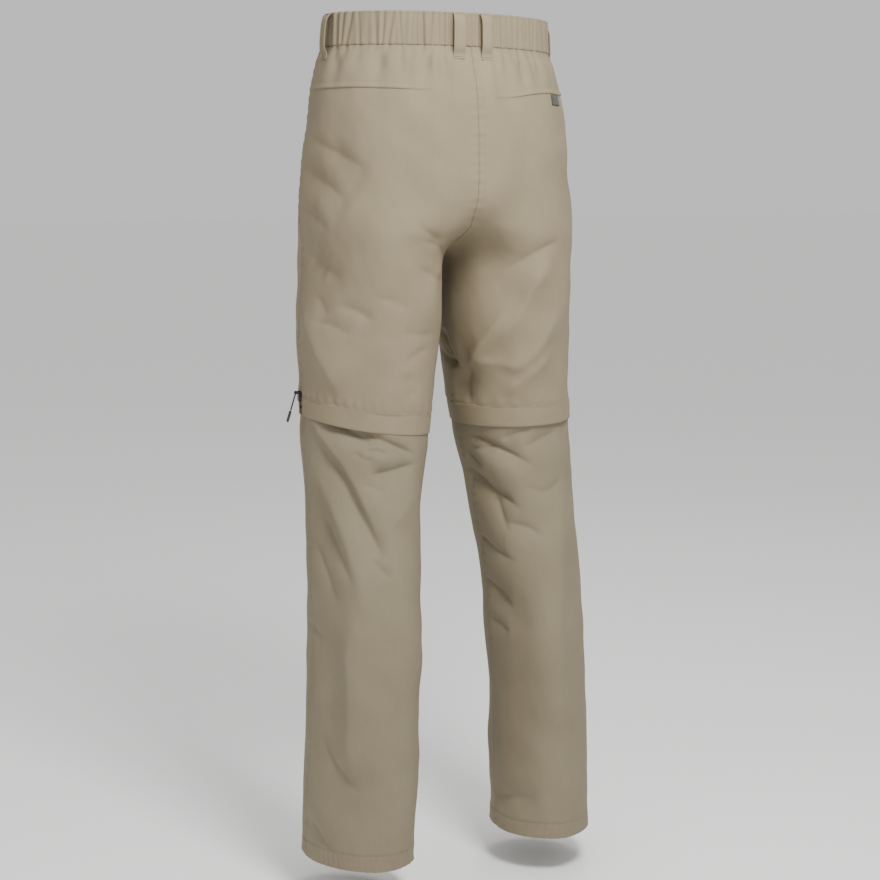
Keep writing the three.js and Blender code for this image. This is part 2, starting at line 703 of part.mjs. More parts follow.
// The pull's origin is the middle of the bar, so the joint turns it about that point
function pull(side, leg) {
  const eye = rod(PULL.eyeOuter, PULL.width).subtract(rod(PULL.eyeInner, PULL.width + 2));
  const tongueTop = PULL.eyeInner + 0.4;
  const tongue = Manifold.cube([PULL.width, PULL.thickness, PULL.length - tongueTop], true)
    .translate([0, 0, -(PULL.length + tongueTop) / 2]);
  const leaned = eye.add(tongue).rotate([PULL.lean, 0, 0]);
  const gripLow = -(PULL.length + SEAM_GAP + GRIP.radius + GRIP.length);
  const ends = [-(PULL.length + SEAM_GAP + GRIP.radius), gripLow + 2 * GRIP.radius];
  const grip = Manifold.hull(ends.map((z) => Manifold.sphere(GRIP.radius, ROUND).translate([0, 0, z])))
    .rotate([PULL.lean, 0, 0]);
  const meshes = [
    solidMesh(`zip_pull_${side}`, MATERIALS.metal, leaned),
    solidMesh(`pull_grip_${side}`, MATERIALS.tab, grip),
  ];
  meshes.forEach((mesh) => setFrame(mesh, sliderFrame(leg), BAR.out, BAR.up));
  return meshes;
}

export default (() => {
  const group = new THREE.Group();
  group.name = 'zip_off_trousers';
  group.add(
    backPanel('back_left', LEFT, UPPER_HEIGHTS, MATERIALS.shell),
    backPanel('back_right', RIGHT, UPPER_HEIGHTS, MATERIALS.shell),
    frontPanel('front_left', LEFT, UPPER_HEIGHTS, MATERIALS.shell),
    frontPanel('front_right', RIGHT, UPPER_HEIGHTS, MATERIALS.shell),
    backPanel('lower_back_left', LEFT, LOWER_HEIGHTS, MATERIALS.lower),
    backPanel('lower_back_right', RIGHT, LOWER_HEIGHTS, MATERIALS.lower),
    frontPanel('lower_front_left', LEFT, LOWER_HEIGHTS, MATERIALS.lower),
    frontPanel('lower_front_right', RIGHT, LOWER_HEIGHTS, MATERIALS.lower),
    ...waistbands(),
    ...LOOPS.map(([name, turn]) => beltLoop(name, turn)),
    placket(),
    ...WELTS.map(welt),
    wovenTab(),
    waistButton(),
  );
  for (const [side, leg] of [['left', LEFT], ['right', RIGHT]]) {
    group.add(...kneeZip(side, leg), slider(side, leg), ...pull(side, leg));
  }
  return group;
})();
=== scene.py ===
# %% [markdown]
# # Zip-off trousers, worn but with no wearer
#
# A pair of thin woven hiking trousers seen from behind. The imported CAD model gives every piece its
# place and size. This lesson cuts the same pieces again as thin cloth with creases, puckers, seams
# and stitches, dresses the hardware, and sets soft studio light round it.
#
# Lengths are in millimetres until a mesh is made, because that is how a maker measures cloth.

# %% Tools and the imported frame
import math

import bpy
import numpy as np
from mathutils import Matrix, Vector


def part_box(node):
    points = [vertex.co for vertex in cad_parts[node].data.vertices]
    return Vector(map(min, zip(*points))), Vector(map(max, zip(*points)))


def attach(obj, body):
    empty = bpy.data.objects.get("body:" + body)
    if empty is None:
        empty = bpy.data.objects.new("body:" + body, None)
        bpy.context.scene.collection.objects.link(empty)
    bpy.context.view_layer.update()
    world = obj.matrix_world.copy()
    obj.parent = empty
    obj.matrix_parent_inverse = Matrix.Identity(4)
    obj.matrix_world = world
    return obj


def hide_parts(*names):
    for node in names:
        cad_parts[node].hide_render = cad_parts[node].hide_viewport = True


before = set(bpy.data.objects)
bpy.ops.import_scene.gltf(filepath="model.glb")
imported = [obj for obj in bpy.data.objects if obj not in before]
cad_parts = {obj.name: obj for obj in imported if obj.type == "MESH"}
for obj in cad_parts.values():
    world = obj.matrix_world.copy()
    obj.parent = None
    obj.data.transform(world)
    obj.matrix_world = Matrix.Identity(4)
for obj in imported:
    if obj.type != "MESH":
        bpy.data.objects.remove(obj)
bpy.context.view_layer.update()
BODY = "trousers"
MM = 0.001

# %% [markdown]
# ## Camera
#
# The photograph was taken from behind and a little to the wearer's left, from about hip height,
# with a long lens. The camera stands at that distance and looks slightly down. It is aimed a few
# millimetres to one side so that the trousers sit in the picture as they do in the photograph.

# %% Camera
PICTURE = 880                 # pixels along each side of the square picture
FOCAL_PIXELS = 2050
SENSOR = 36.0
VIEW_TURN = math.radians(25)  # round from straight behind, towards the wearer's left
VIEW_DISTANCE = 2600
EYE_HEIGHT = -160
AIM_HEIGHT = -508
AIM_SIDE = 6.34

towards = np.array([math.sin(VIEW_TURN), math.cos(VIEW_TURN), 0.0])
rightwards = np.array([-math.cos(VIEW_TURN), math.sin(VIEW_TURN), 0.0])
eye = towards * VIEW_DISTANCE + rightwards * AIM_SIDE + [0, 0, EYE_HEIGHT]
aim = rightwards * AIM_SIDE + [0, 0, AIM_HEIGHT]

camera_data = bpy.data.cameras.new("camera")
camera_data.sensor_width = SENSOR
camera_data.lens = SENSOR * FOCAL_PIXELS / PICTURE
camera = bpy.data.objects.new("camera", camera_data)
camera.location = Vector(eye * MM)
camera.rotation_euler = Vector((aim - eye) * MM).to_track_quat("-Z", "Y").to_euler()
bpy.context.scene.collection.objects.link(camera)
bpy.context.scene.camera = camera
print("lens", round(camera_data.lens, 1), "mm")

# %% [markdown]
# ## The body of the garment
#
# The CAD model bends every piece over one smooth surface: an ellipse for each leg at each height,
# the two melted together above the crotch. A cloth piece in Blender has to lie on the same surface,
# so the same short table and the same few functions are written here again, on whole arrays at once
# because a fine cloth needs tens of thousands of points.
#
# A place on the surface is a height z and a number u: 0 at the outer side, 1 at the middle of the
# back or the inseam, -1 at the middle of the front or the inseam.

# %% The table of sections
LEFT = 1
RIGHT = -1
HEM_Z = -1017.0
SECTION_COLUMNS = ("centre_x", "centre_y", "half_width", "half_depth", "turn")
SECTIONS = np.array([
    # z, centre_x, centre_y, half_width, half_depth, turn
    (30, 0, 2, 143.5, 114, 0),
    (20, 0, 2, 143.5, 114, 0),
    (-20, 0, 0, 147, 117, 0),
    (-34, 0, 1, 152, 122, 0),
    (-62, 0, 3, 159, 128.5, 0),
    (-110, 0, 4, 167, 134, 0),
    (-160, 8, 3, 169.5, 138, 0),
    (-200, 32, 2, 148, 137, 0),
    (-230, 63, 1, 113.5, 131, 1),
    (-250, 81.5, 1, 92, 126, 2),
    (-275, 90.5, 1, 83, 120.5, 3),
    (-337, 93, 3, 82, 110.5, 6),
    (-400, 96.5, 4, 80.5, 102, 9),
    (-462, 101, 7, 77.5, 94, 11),
    (-512, 105.5, 13, 73, 87, 12),
    (-587, 113, 26, 67, 82.5, 12),
    (-712, 121.5, 45, 62, 86, 12),
    (-837, 128, 49, 61.5, 85.5, 12),
    (-962, 132.5, 46, 63, 86, 12),
    (HEM_Z, 134, 44.5, 64, 86.5, 12),
    (-1060, 135, 43, 64, 86.5, 12),
])
LEG_BLEND = 7.0               # how sharply the two leg ellipses join at the middle plane
HALVINGS = 34
FAR = 400                     # farther than any point of a section from its middle
TINY = 1e-9


def smooth(start, end, value):
    t = np.clip((np.asarray(value, float) - start) / (end - start), 0, 1)
    return t * t * (3 - 2 * t)


def section_at(z):
    table = SECTIONS[::-1]
    heights, values = table[:, 0], table[:, 1:]
    slopes = np.gradient(values, axis=0)
    spans = np.gradient(heights)
    slopes = slopes / spans[:, None]
    z = np.clip(np.asarray(z, float), heights[0], heights[-1])
    low = np.clip(np.searchsorted(heights, z, side="right") - 1, 0, len(heights) - 2)
    run = (heights[low + 1] - heights[low])[..., None]
    t = (z - heights[low])[..., None] / run
    mixed = (
        (2 * t**3 - 3 * t**2 + 1) * values[low]
        + (t**3 - 2 * t**2 + t) * run * slopes[low]
        + (3 * t**2 - 2 * t**3) * values[low + 1]
        + (t**3 - t**2) * run * slopes[low + 1]
    )
    return {name: mixed[..., index] for index, name in enumerate(SECTION_COLUMNS)}


def reach(x, y, section):
    """Under 1 inside the section, over 1 outside it."""
    angle = np.radians(section["turn"])
    cos, sin = np.cos(angle), np.sin(angle)

    def ellipse(dx, dy):
        across = (dx * cos + dy * sin) / section["half_width"]
        along = (dy * cos - dx * sin) / section["half_depth"]
        return across**2 + along**2

    own = ellipse(x - section["centre_x"], y - section["centre_y"])
    other = ellipse(-x - section["centre_x"], y - section["centre_y"])
    shared = np.exp(-((2 * section["centre_x"] / section["half_width"]) ** 2))
    least = np.minimum(own, other)
    total = np.exp(-LEG_BLEND * (own - least)) + np.exp(-LEG_BLEND * (other - least))
    return least - np.log(total) / LEG_BLEND + np.log1p(shared) / LEG_BLEND


def longest_inside(is_inside, shape, limit):
    low = np.zeros(shape)
    high = np.broadcast_to(np.asarray(limit, float), shape).copy()
    for _ in range(HALVINGS):
        middle = (low + high) / 2
        inside = is_inside(middle)
        low = np.where(inside, middle, low)
        high = np.where(inside, high, middle)
    return low


# %% Where the legs part, and the ring of points at each height
MERGED_Z = -200               # here the legs are still one, and 120 mm lower they are parted
PARTED_Z = MERGED_Z - 120.0
OPENING = (-150, -330)        # between these heights half a ring opens out to a whole leg's ring
SLIDE_POWER = 6               # keeps the columns of points from sliding round at the crotch


def middle_reach(z, side):
    """How far the section reaches on the middle plane, 0 where the legs are parted."""
    heights, back = np.unique(z, return_inverse=True)
    section = section_at(heights)
    centre_y = section["centre_y"]
    nothing = np.zeros(heights.shape)
    parted = reach(nothing, centre_y, section) >= 1

    def inside(f):
        return reach(nothing, centre_y + side * f, section) < 1

    far = longest_inside(inside, heights.shape, FAR)
    return np.where(parted, 0, far)[back].reshape(np.shape(z))


def find_crotch():
    high, low = MERGED_Z, PARTED_Z
    for _ in range(HALVINGS):
        middle = (high + low) / 2
        section = section_at(middle)
        if reach(0.0, section["centre_y"], section) < 1:
            high = middle
        else:
            low = middle
    return high


CROTCH_Z = float(find_crotch())


def ring_angle(z, section, u):
    side_reach = np.where(u < 0, middle_reach(z, -1), middle_reach(z, 1))
    whole = np.pi / 2 + np.arctan2(section["centre_x"], np.maximum(side_reach, TINY))
    even = np.pi / 2 * (1 + smooth(*OPENING, z))
    share = np.abs(u)
    return even * share + (whole - even) * share**SLIDE_POWER


def half_point(z, u):
    """x, y and turn of a point of the left half. Turn is 0 at the back, 90 outside, 180 in front."""
    section = section_at(z)
    side = np.where(u < 0, -1.0, 1.0)
    angle = ring_angle(z, section, u)
    dx, dy = np.cos(angle), side * np.sin(angle)
    limit = np.where(dx < -TINY, section["centre_x"] / np.maximum(-dx, TINY) + 1e-6, FAR)
    x, y = section["centre_x"], section["centre_y"]
    far = longest_inside(lambda f: reach(x + f * dx, y + f * dy, section) < 1, np.shape(z), limit)
    return x + far * dx, y + far * dy, 90 - side * np.degrees(angle)


def turn_to_u(z, turn):
    z, turn = np.broadcast_arrays(np.asarray(z, float), np.asarray(turn, float))
    section = section_at(z)
    side = np.where(turn > 90, -1.0, 1.0)
    angle = np.radians(np.abs(90 - turn))
    return side * longest_inside(lambda s: ring_angle(z, section, side * s) < angle, z.shape, 1.25)


print("the legs part at", round(CROTCH_Z, 1), "mm")

# %% [markdown]
# The waistband stands a little higher at the wearer's left and dips to the front, the knee zips
# tilt round each leg, and one leg stands a little behind the other. Those few numbers are the
# garment's posture. Everything sewn on the garment goes through them, so nothing comes loose.

# %% Posture
WAIST_SLOPE = 0.02
FRONT_DROP = 16
STRIDE = 10
KNEE = {LEFT: {"middle": -467, "tilt": 11}, RIGHT: {"middle": -470, "tilt": 3}}
KNEE_HIGH_TURN = 115
KNEE_LEVEL = -470.0
# Each part of the posture grows between two heights, or two turns
WAIST_GROWS = (-130, -25)
DROP_GROWS = (80, 180)
KNEE_GROWS = (-290, -445)
KNEE_ENDS = (-680, -495)
STRIDE_GROWS = (-400, -800)
STEP_U = 2e-3                 # the small steps that a slope is measured over
STEP_Z = 1.0


def body_point(leg, z, u):
    z, u = np.broadcast_arrays(np.asarray(z, float), np.asarray(u, float))
    past = np.abs(u) > 1
    parted = z < CROTCH_Z
    once_more = u - 2 * np.sign(u)
    wrapped = np.where(past, np.where(parted, once_more, -once_more), u)
    x, y, turn = half_point(z, wrapped)
    side = np.where(past & ~parted, -leg, leg)
    waist = smooth(*WAIST_GROWS, z) * (WAIST_SLOPE * side * x - FRONT_DROP * smooth(*DROP_GROWS, turn))
    tilt = np.where(side > 0, KNEE[LEFT]["tilt"], KNEE[RIGHT]["tilt"])
    middle = np.where(side > 0, KNEE[LEFT]["middle"], KNEE[RIGHT]["middle"])
    lift = middle - KNEE_LEVEL + tilt * np.cos(np.radians(turn - KNEE_HIGH_TURN))
    knee = smooth(*KNEE_GROWS, z) * smooth(*KNEE_ENDS, z) * lift
    forward = STRIDE * smooth(*STRIDE_GROWS, z) * side
    return np.stack([side * x, y + forward, z + waist + knee], -1)


def body_slope(leg, z, u):
    """The outward direction, and how many millimetres one unit of u is there."""
    around = body_point(leg, z, u + STEP_U) - body_point(leg, z, u - STEP_U)
    down = body_point(leg, z - STEP_Z, u) - body_point(leg, z + STEP_Z, u)
    out = np.cross(around, down) * -leg
    speed = np.linalg.norm(around, axis=-1) / (2 * STEP_U)
    return out / np.maximum(np.linalg.norm(out, axis=-1, keepdims=True), TINY), speed


# %% [markdown]
# ## Folds, creases and gathers
#
# Thin nylon does not crumple like paper: it hangs in broad soft folds with a few crisp creases where
# it is caught, under the knee flap and at the crotch. A simulation would settle it somewhere else
# every time, so each fold is given as a line of heights and turns, with its own height and
# its own fall-off on either side. A steep side looks dark, a long side catches the light.
#
# The first table is the CAD model's own, with the broad folds. The second adds the crisp ones. A
# positive height is a ridge and a negative one a trough.

# %% Broad folds
FOLD_COLUMNS = ("leg", "width", "height", "line")
FOLDS = [
    (LEFT, 22, -5, [(-134, 79), (-161, 64), (-180, 50)]),
    (LEFT, 24, -4.5, [(-158, 95), (-194, 70), (-214, 52)]),
    (LEFT, 22, -4, [(-266, 84), (-290, 59)]),
    (LEFT, 30, 4, [(-310, 100), (-401, 61), (-440, 40)]),
    (LEFT, 22, -4, [(-236, 9), (-272, -12), (-300, -30)]),
    (LEFT, 20, -5, [(-474, 76), (-486, 37), (-504, 8)]),
    (LEFT, 17, 4, [(-494, 40), (-512, 10), (-522, -20)]),
    (LEFT, 18, -4.5, [(-538, 20), (-528, 0), (-515, -24)]),
    (LEFT, 30, -5.5, [(-495, 77), (-530, 42), (-580, 22), (-650, 4)]),
    (LEFT, 28, 4, [(-520, 66), (-580, 42), (-668, 31), (-760, 34), (-842, 31), (-925, 24)]),
    (LEFT, 22, -4, [(-560, 96), (-611, 66), (-668, 52)]),
    (LEFT, 24, -3.5, [(-725, 88), (-790, 60), (-872, 52)]),
    (LEFT, 18, -4, [(-955, 104), (-977, 92), (-996, 61)]),
    (LEFT, 20, -4, [(-484, 150), (-500, 180), (-508, 215)]),
    (LEFT, 24, -4, [(-520, 214), (-556, 188), (-610, 160)]),
    (RIGHT, 26, -4, [(-252, -40), (-300, -25), (-340, -5)]),
    (RIGHT, 24, -4, [(-293, -30), (-263, 2), (-240, 26)]),
    (RIGHT, 26, 3.5, [(-413, -26), (-362, 1), (-310, 30)]),
    (RIGHT, 24, -4.5, [(-374, -40), (-416, -66), (-446, -88)]),
    (RIGHT, 20, -5, [(-491, -73), (-506, -48), (-533, -9)]),
    (RIGHT, 18, 4, [(-497, -76), (-520, -48), (-552, -12)]),
    (RIGHT, 20, -4.5, [(-546, -97), (-557, -73), (-587, -29)]),
    (RIGHT, 18, -4, [(-506, -15), (-494, 16), (-498, 46)]),
    (RIGHT, 20, -4, [(-614, -45), (-612, -15), (-580, 20)]),
    (RIGHT, 26, 3.5, [(-620, -30), (-720, -20), (-820, -12), (-900, -8)]),
    (RIGHT, 22, -4, [(-700, -82), (-716, -51), (-760, -30)]),
    (RIGHT, 20, -4, [(-976, -93), (-965, -50), (-968, -20)]),
    (RIGHT, 20, -4, [(-484, 148), (-502, 176), (-512, 210)]),
    (RIGHT, 24, -4, [(-540, 100), (-600, 128), (-660, 150)]),
]
LINE_STEPS = 6
FOLD_END = 0.3                # share of a fold over which it dies out at each end

# %% Crisp creases
# Walking along the line on the outside of the cloth, right_hand and left_hand are the fall-offs on
# either side, and edge is how round the crease is, all in millimetres. Two factors sharpen the
# whole table at once, because thin nylon holds a crease crisply.
CREASE_COLUMNS = ("leg", "height", "right_hand", "left_hand", "edge", "line")
CREASE_HEIGHT = 1.95
CREASE_EDGE = 0.75
CREASES = [
    # Drapes from the left hip towards the seat
    (LEFT, -1.3, 12, 6, 2.5, [(-120, 96), (-143, 73), (-166, 54)]),
    (LEFT, -1.5, 13, 6, 2.5, [(-158, 101), (-178, 80), (-203, 60)]),
    (LEFT, -1.9, 15, 7, 3, [(-204, 108), (-221, 82), (-244, 58)]),
    (LEFT, -1.5, 14, 8, 3, [(-260, 102), (-281, 67), (-300, 40)]),
    # The left side of the crotch, and the back of the left thigh
    (LEFT, -1.6, 6, 6, 2, [(-226, 12), (-242, -5), (-256, -24)]),
    (LEFT, -1.4, 5, 5, 1.5, [(-248, 0), (-261, -26), (-270, -46)]),
    (LEFT, -1.5, 6, 5, 1.5, [(-280, -4), (-293, -24), (-306, -46)]),
    (LEFT, -1.2, 6, 8, 2, [(-315, 22), (-323, 6), (-334, -6)]),
    (LEFT, -1.6, 7, 8, 2, [(-327, 50), (-335, 31), (-349, 18)]),
    (LEFT, -1.4, 8, 8, 2, [(-314, 76), (-332, 63), (-348, 58)]),
    (LEFT, -1.4, 7, 9, 2, [(-352, 74), (-356, 50), (-368, 32)]),
    (LEFT, -1.2, 6, 8, 2, [(-358, 2), (-362, -13), (-361, -30)]),
    (LEFT, -1.2, 6, 6, 2, [(-400, -2), (-384, -13), (-376, -30)]),
    (LEFT, -1.2, 6, 6, 2, [(-404, -5), (-425, -9), (-440, -15)]),
    (LEFT, 3.4, 13, 42, 4, [(-322, 98), (-359, 82), (-386, 68), (-425, 50), (-458, 34)]),
    # Under the left flap, where the lower leg is caught by the zip
    (LEFT, -3.4, 10, 4, 1.2, [(-470, 84), (-479, 51), (-486, 33), (-500, 9)]),
    (LEFT, -3.2, 9, 3.5, 1, [(-479, 36), (-491, 6), (-508, -27)]),
    (LEFT, -1.9, 5, 4, 1, [(-507, 24), (-504, 12), (-507, 0)]),
    (LEFT, -1.4, 6, 5, 1.5, [(-507, 33), (-515, 23), (-516, 13)]),
    (LEFT, -3, 6, 5, 1, [(-535, 20), (-525, -3), (-516, -30)]),
    (LEFT, -1.3, 5, 5, 1.5, [(-544, 23), (-548, 13), (-552, 3)]),
    (LEFT, 4.4, 9, 34, 2.5, [(-474, 94), (-509, 57), (-539, 36), (-578, 19), (-630, 3)]),
    (LEFT, -4.6, 14, 8, 3, [(-492, 92), (-533, 48), (-572, 29), (-614, 12), (-644, 5)]),
    (LEFT, -1.8, 5, 5, 1.5, [(-630, 17), (-644, 8), (-657, -1)]),
    (LEFT, 2.4, 14, 14, 5, [(-536, 82), (-590, 50), (-640, 32), (-704, 20)]),
    (LEFT, -3, 10, 6, 2.5, [(-590, 74), (-605, 63), (-635, 45), (-676, 27)]),
    (LEFT, -2.4, 9, 6, 2.5, [(-618, 96), (-641, 80), (-665, 63), (-696, 48)]),
    (LEFT, 3.2, 34, 11, 4, [(-540, -34), (-575, -12), (-596, 0), (-617, -1), (-680, -9), (-770, -12)]),
    # The left calf and hem
    (LEFT, -1.5, 7, 7, 2, [(-722, 126), (-728, 97), (-740, 78)]),
    (LEFT, 4, 13, 44, 3, [(-690, 28), (-743, 36), (-791, 34), (-845, 33), (-893, 30), (-928, 20)]),
    (LEFT, -2.4, 9, 6, 2, [(-852, 78), (-881, 58), (-899, 37), (-924, 20)]),
    (LEFT, -2.2, 8, 6, 2, [(-962, 92), (-983, 69), (-1001, 46)]),
    # The back of the right thigh
    (RIGHT, -1.5, 6, 5, 1.5, [(-294, -30), (-275, -12), (-260, 4), (-250, 24)]),
    (RIGHT, 4.2, 12, 14, 3, [(-258, 10), (-305, -6), (-344, -17), (-392, -36)]),
    (RIGHT, 5.2, 10, 28, 2.5, [(-322, -18), (-362, -34), (-389, -47), (-424, -66)]),
    (RIGHT, -3.4, 6, 5, 1.2, [(-358, -108), (-390, -88), (-416, -70)]),
    (RIGHT, -2.2, 4, 4, 1, [(-382, -108), (-401, -91), (-414, -78)]),
    (RIGHT, -2.4, 5, 5, 1.2, [(-390, -126), (-404, -94), (-408, -74)]),
    (RIGHT, 1.8, 10, 8, 3, [(-401, -56), (-401, -31), (-408, -12)]),
    (RIGHT, 3, 11, 13, 3, [(-418, -26), (-386, -5), (-336, 14)]),
    (RIGHT, 2.4, 12, 9, 3, [(-444, -32), (-416, -9), (-384, 12)]),
    (RIGHT, -3, 8, 7, 2, [(-458, -62), (-432, -66), (-398, -52)]),
    (RIGHT, -1.6, 8, 7, 2.5, [(-60, 8), (-90, 14), (-137, 24), (-170, 30)]),
    # Under the right flap
    (RIGHT, -3.6, 9, 4, 1, [(-496, -90), (-500, -62), (-506, -48), (-518, -29), (-537, -4)]),
    (RIGHT, -1.8, 6, 5, 1.5, [(-502, -38), (-491, -23), (-487, -6)]),
    (RIGHT, -1.8, 7, 6, 2, [(-511, -20), (-500, 1), (-492, 24)]),
    (RIGHT, -1.9, 5, 5, 1.5, [(-516, -84), (-512, -58), (-508, -40)]),
    (RIGHT, -3.8, 10, 4, 1.2, [(-535, -108), (-554, -72), (-566, -58), (-575, -41), (-592, -24)]),
    (RIGHT, -2, 5, 5, 1.5, [(-519, -88), (-527, -72), (-538, -60)]),
    (RIGHT, -2.6, 8, 7, 2, [(-570, -58), (-593, -49), (-624, -40)]),
    (RIGHT, -1.7, 7, 5, 1.8, [(-605, -46), (-611, -24), (-624, -10)]),
    (RIGHT, -1.5, 8, 6, 2, [(-558, -22), (-566, 0), (-547, 24)]),
    (RIGHT, -2.4, 9, 5, 1.8, [(-628, -96), (-640, -70), (-658, -34)]),
    (RIGHT, -2.6, 9, 4, 1.5, [(-680, -100), (-698, -65), (-720, -47)]),
    (RIGHT, -2, 8, 4, 1.5, [(-735, -98), (-740, -68), (-752, -50)]),
    (RIGHT, 3, 38, 15, 5, [(-566, 14), (-599, 9), (-653, 2), (-728, -5), (-806, -6), (-880, -9)]),
    (RIGHT, -1.6, 7, 6, 2, [(-982, -100), (-968, -60), (-966, -30)]),
    # The outer side of the right leg
    (RIGHT, -2.4, 6, 12, 2.5, [(-136, 94), (-158, 76), (-180, 64)]),
    (RIGHT, -2.6, 7, 13, 3, [(-190, 100), (-208, 80), (-230, 66)]),
    (RIGHT, -1.8, 8, 12, 3, [(-298, 96), (-330, 75), (-352, 58)]),
    (RIGHT, -1.7, 8, 10, 3, [(-392, 104), (-415, 80), (-434, 60)]),
    (RIGHT, -2.8, 4, 9, 1.2, [(-482, 60), (-496, 84), (-508, 108)]),
    (RIGHT, -2.2, 5, 9, 1.5, [(-526, 48), (-548, 76), (-562, 104)]),
    (RIGHT, -2.6, 7, 10, 2.5, [(-590, 54), (-650, 80), (-706, 96)]),
    (RIGHT, -1.8, 8, 10, 3, [(-756, 66), (-820, 84), (-884, 94)]),
    (RIGHT, 2.8, 20, 30, 5, [(-600, 116), (-740, 106), (-870, 100)]),
    # The front of both legs
    (LEFT, -2.6, 8, 7, 2, [(-262, 222), (-246, 196), (-222, 166)]),
    (LEFT, -2.2, 8, 7, 2, [(-288, 232), (-276, 204), (-262, 172)]),
    (LEFT, -1.6, 8, 9, 3, [(-318, 140), (-340, 176), (-352, 214)]),
    (LEFT, -2.8, 9, 4, 1.2, [(-484, 128), (-498, 160), (-506, 196)]),
    (LEFT, -2.6, 6, 6, 1.5, [(-520, 216), (-540, 186), (-560, 150)]),
    (LEFT, -2.2, 7, 6, 2, [(-566, 236), (-596, 206), (-644, 184)]),
    (LEFT, 3, 26, 20, 4, [(-570, 176), (-700, 178), (-850, 182), (-960, 180)]),
    (LEFT, -1.8, 9, 8, 3, [(-690, 138), (-760, 158), (-850, 168)]),
    (LEFT, -2.2, 7, 6, 2, [(-938, 146), (-954, 180), (-944, 216)]),
    (RIGHT, -2.4, 8, 7, 2, [(-266, 226), (-250, 198), (-230, 170)]),
    (RIGHT, -2, 8, 8, 2, [(-296, 228), (-288, 196), (-276, 162)]),
    (RIGHT, -1.6, 8, 9, 3, [(-330, 212), (-352, 180), (-366, 148)]),
    (RIGHT, -2.8, 4, 9, 1.2, [(-482, 214), (-494, 180), (-502, 140)]),
    (RIGHT, -2.4, 6, 6, 1.5, [(-530, 142), (-546, 178), (-566, 212)]),
    (RIGHT, -2, 7, 7, 2, [(-574, 128), (-616, 160), (-668, 180)]),
    (RIGHT, 2.8, 22, 24, 4, [(-590, 184), (-720, 182), (-860, 178), (-950, 182)]),
    (RIGHT, -1.7, 8, 8, 3, [(-720, 222), (-780, 208), (-850, 198)]),
    (RIGHT, -2, 7, 6, 2, [(-946, 142), (-960, 176), (-952, 212)]),
]


def curve_through(points, steps):
    """Catmull-Rom points through a short list of pairs."""
    before = 2 * np.array(points[0]) - points[1]
    after = 2 * np.array(points[-1]) - points[-2]
    given = np.array([before, *points, after], float)
    out = []
    for index in range(1, len(given) - 2):
        a, b, c, d = given[index - 1:index + 3]
        for step in range(steps):
            t = step / steps
            out.append(0.5 * (2 * b + (c - a) * t + (2 * a - 5 * b + 4 * c - d) * t**2
                              + (3 * b - a - 3 * c + d) * t**3))
    return np.array([*out, given[-2]])


def laid_line(leg, line):
    path = curve_through(line, LINE_STEPS)
    u = turn_to_u(path[:, 0], path[:, 1])
    place = body_point(leg, path[:, 0], u)
    out, _ = body_slope(leg, path[:, 0], u)
    steps = np.gradient(place, axis=0)
    spacing = np.linalg.norm(steps, axis=1)
    return {
        "place": place,
        "beside": np.cross(steps, out),
        "along": steps / spacing[:, None],
        "spacing": spacing,
    }


folds = [dict(zip(FOLD_COLUMNS, row), **laid_line(row[0], row[-1])) for row in FOLDS]
creases = [dict(zip(CREASE_COLUMNS, row), **laid_line(row[0], row[-1])) for row in CREASES]
NEAR = 90                     # no fold is felt farther than this from the ends of its line
OUT_OF_REACH = 1e4


def nearest_on(line, place):
    """Distance to the line, which side it is on, and how far along it."""
    flat = place.reshape(-1, 3)
    middle = line["place"].mean(0)
    radius = np.linalg.norm(line["place"] - middle, axis=1).max() + NEAR
    near = np.linalg.norm(flat - middle, axis=1) < radius
    distance = np.full(len(flat), OUT_OF_REACH)
    side = np.zeros(len(flat))
    share = np.zeros(len(flat))
    if near.any():
        offsets = flat[near][:, None, :] - line["place"][None]
        lengths = np.linalg.norm(offsets, axis=2)
        closest = lengths.argmin(1)
        picked = np.arange(len(closest))
        step = offsets[picked, closest]
        run = (step * line["along"][closest]).sum(1)
        last = len(line["place"]) - 1
        past = ((closest == 0) & (run < 0)) | ((closest == last) & (run > 0))
        across = np.sqrt(np.clip((step**2).sum(1) - run**2, 0, None))
        distance[near] = np.where(past, lengths[picked, closest], across)
        side[near] = np.sign((step * line["beside"][closest]).sum(1))
        share[near] = np.clip((closest + run / line["spacing"][closest]) / last, 0, 1)
    shape = place.shape[:-1]
    return distance.reshape(shape), side.reshape(shape), share.reshape(shape)


def fading_ends(share):
    return smooth(0, FOLD_END, share) * smooth(1, 1 - FOLD_END, share)


def fold_height(leg, place):
    total = np.zeros(place.shape[:-1])
    for fold in folds:
        if fold["leg"] == leg:
            distance, _, share = nearest_on(fold, place)
            total += fold["height"] * fading_ends(share) * np.exp(-((distance / fold["width"]) ** 2))
    return total


def crease_height(leg, place):
    total = np.zeros(place.shape[:-1])
    for crease in creases:
        if crease["leg"] == leg:
            distance, side, share = nearest_on(crease, place)
            width = np.where(side > 0, crease["right_hand"], crease["left_hand"])
            edge = CREASE_EDGE * crease["edge"]
            past_edge = np.sqrt(distance**2 + edge**2) - edge
            total += CREASE_HEIGHT * crease["height"] * fading_ends(share) * np.exp(-past_edge / width)
    return total


print(len(folds), "broad folds and", len(creases), "creases")

# %% [markdown]
# The elastic draws the back of the waistband into gathers, in clusters with flatter cloth between,
# and each gather runs on below the band as a pucker that opens out and dies. One table serves both,
# so band and seat always agree. Directions run round the waist: 0 is straight behind, 90 the
# wearer's left, -90 the right.

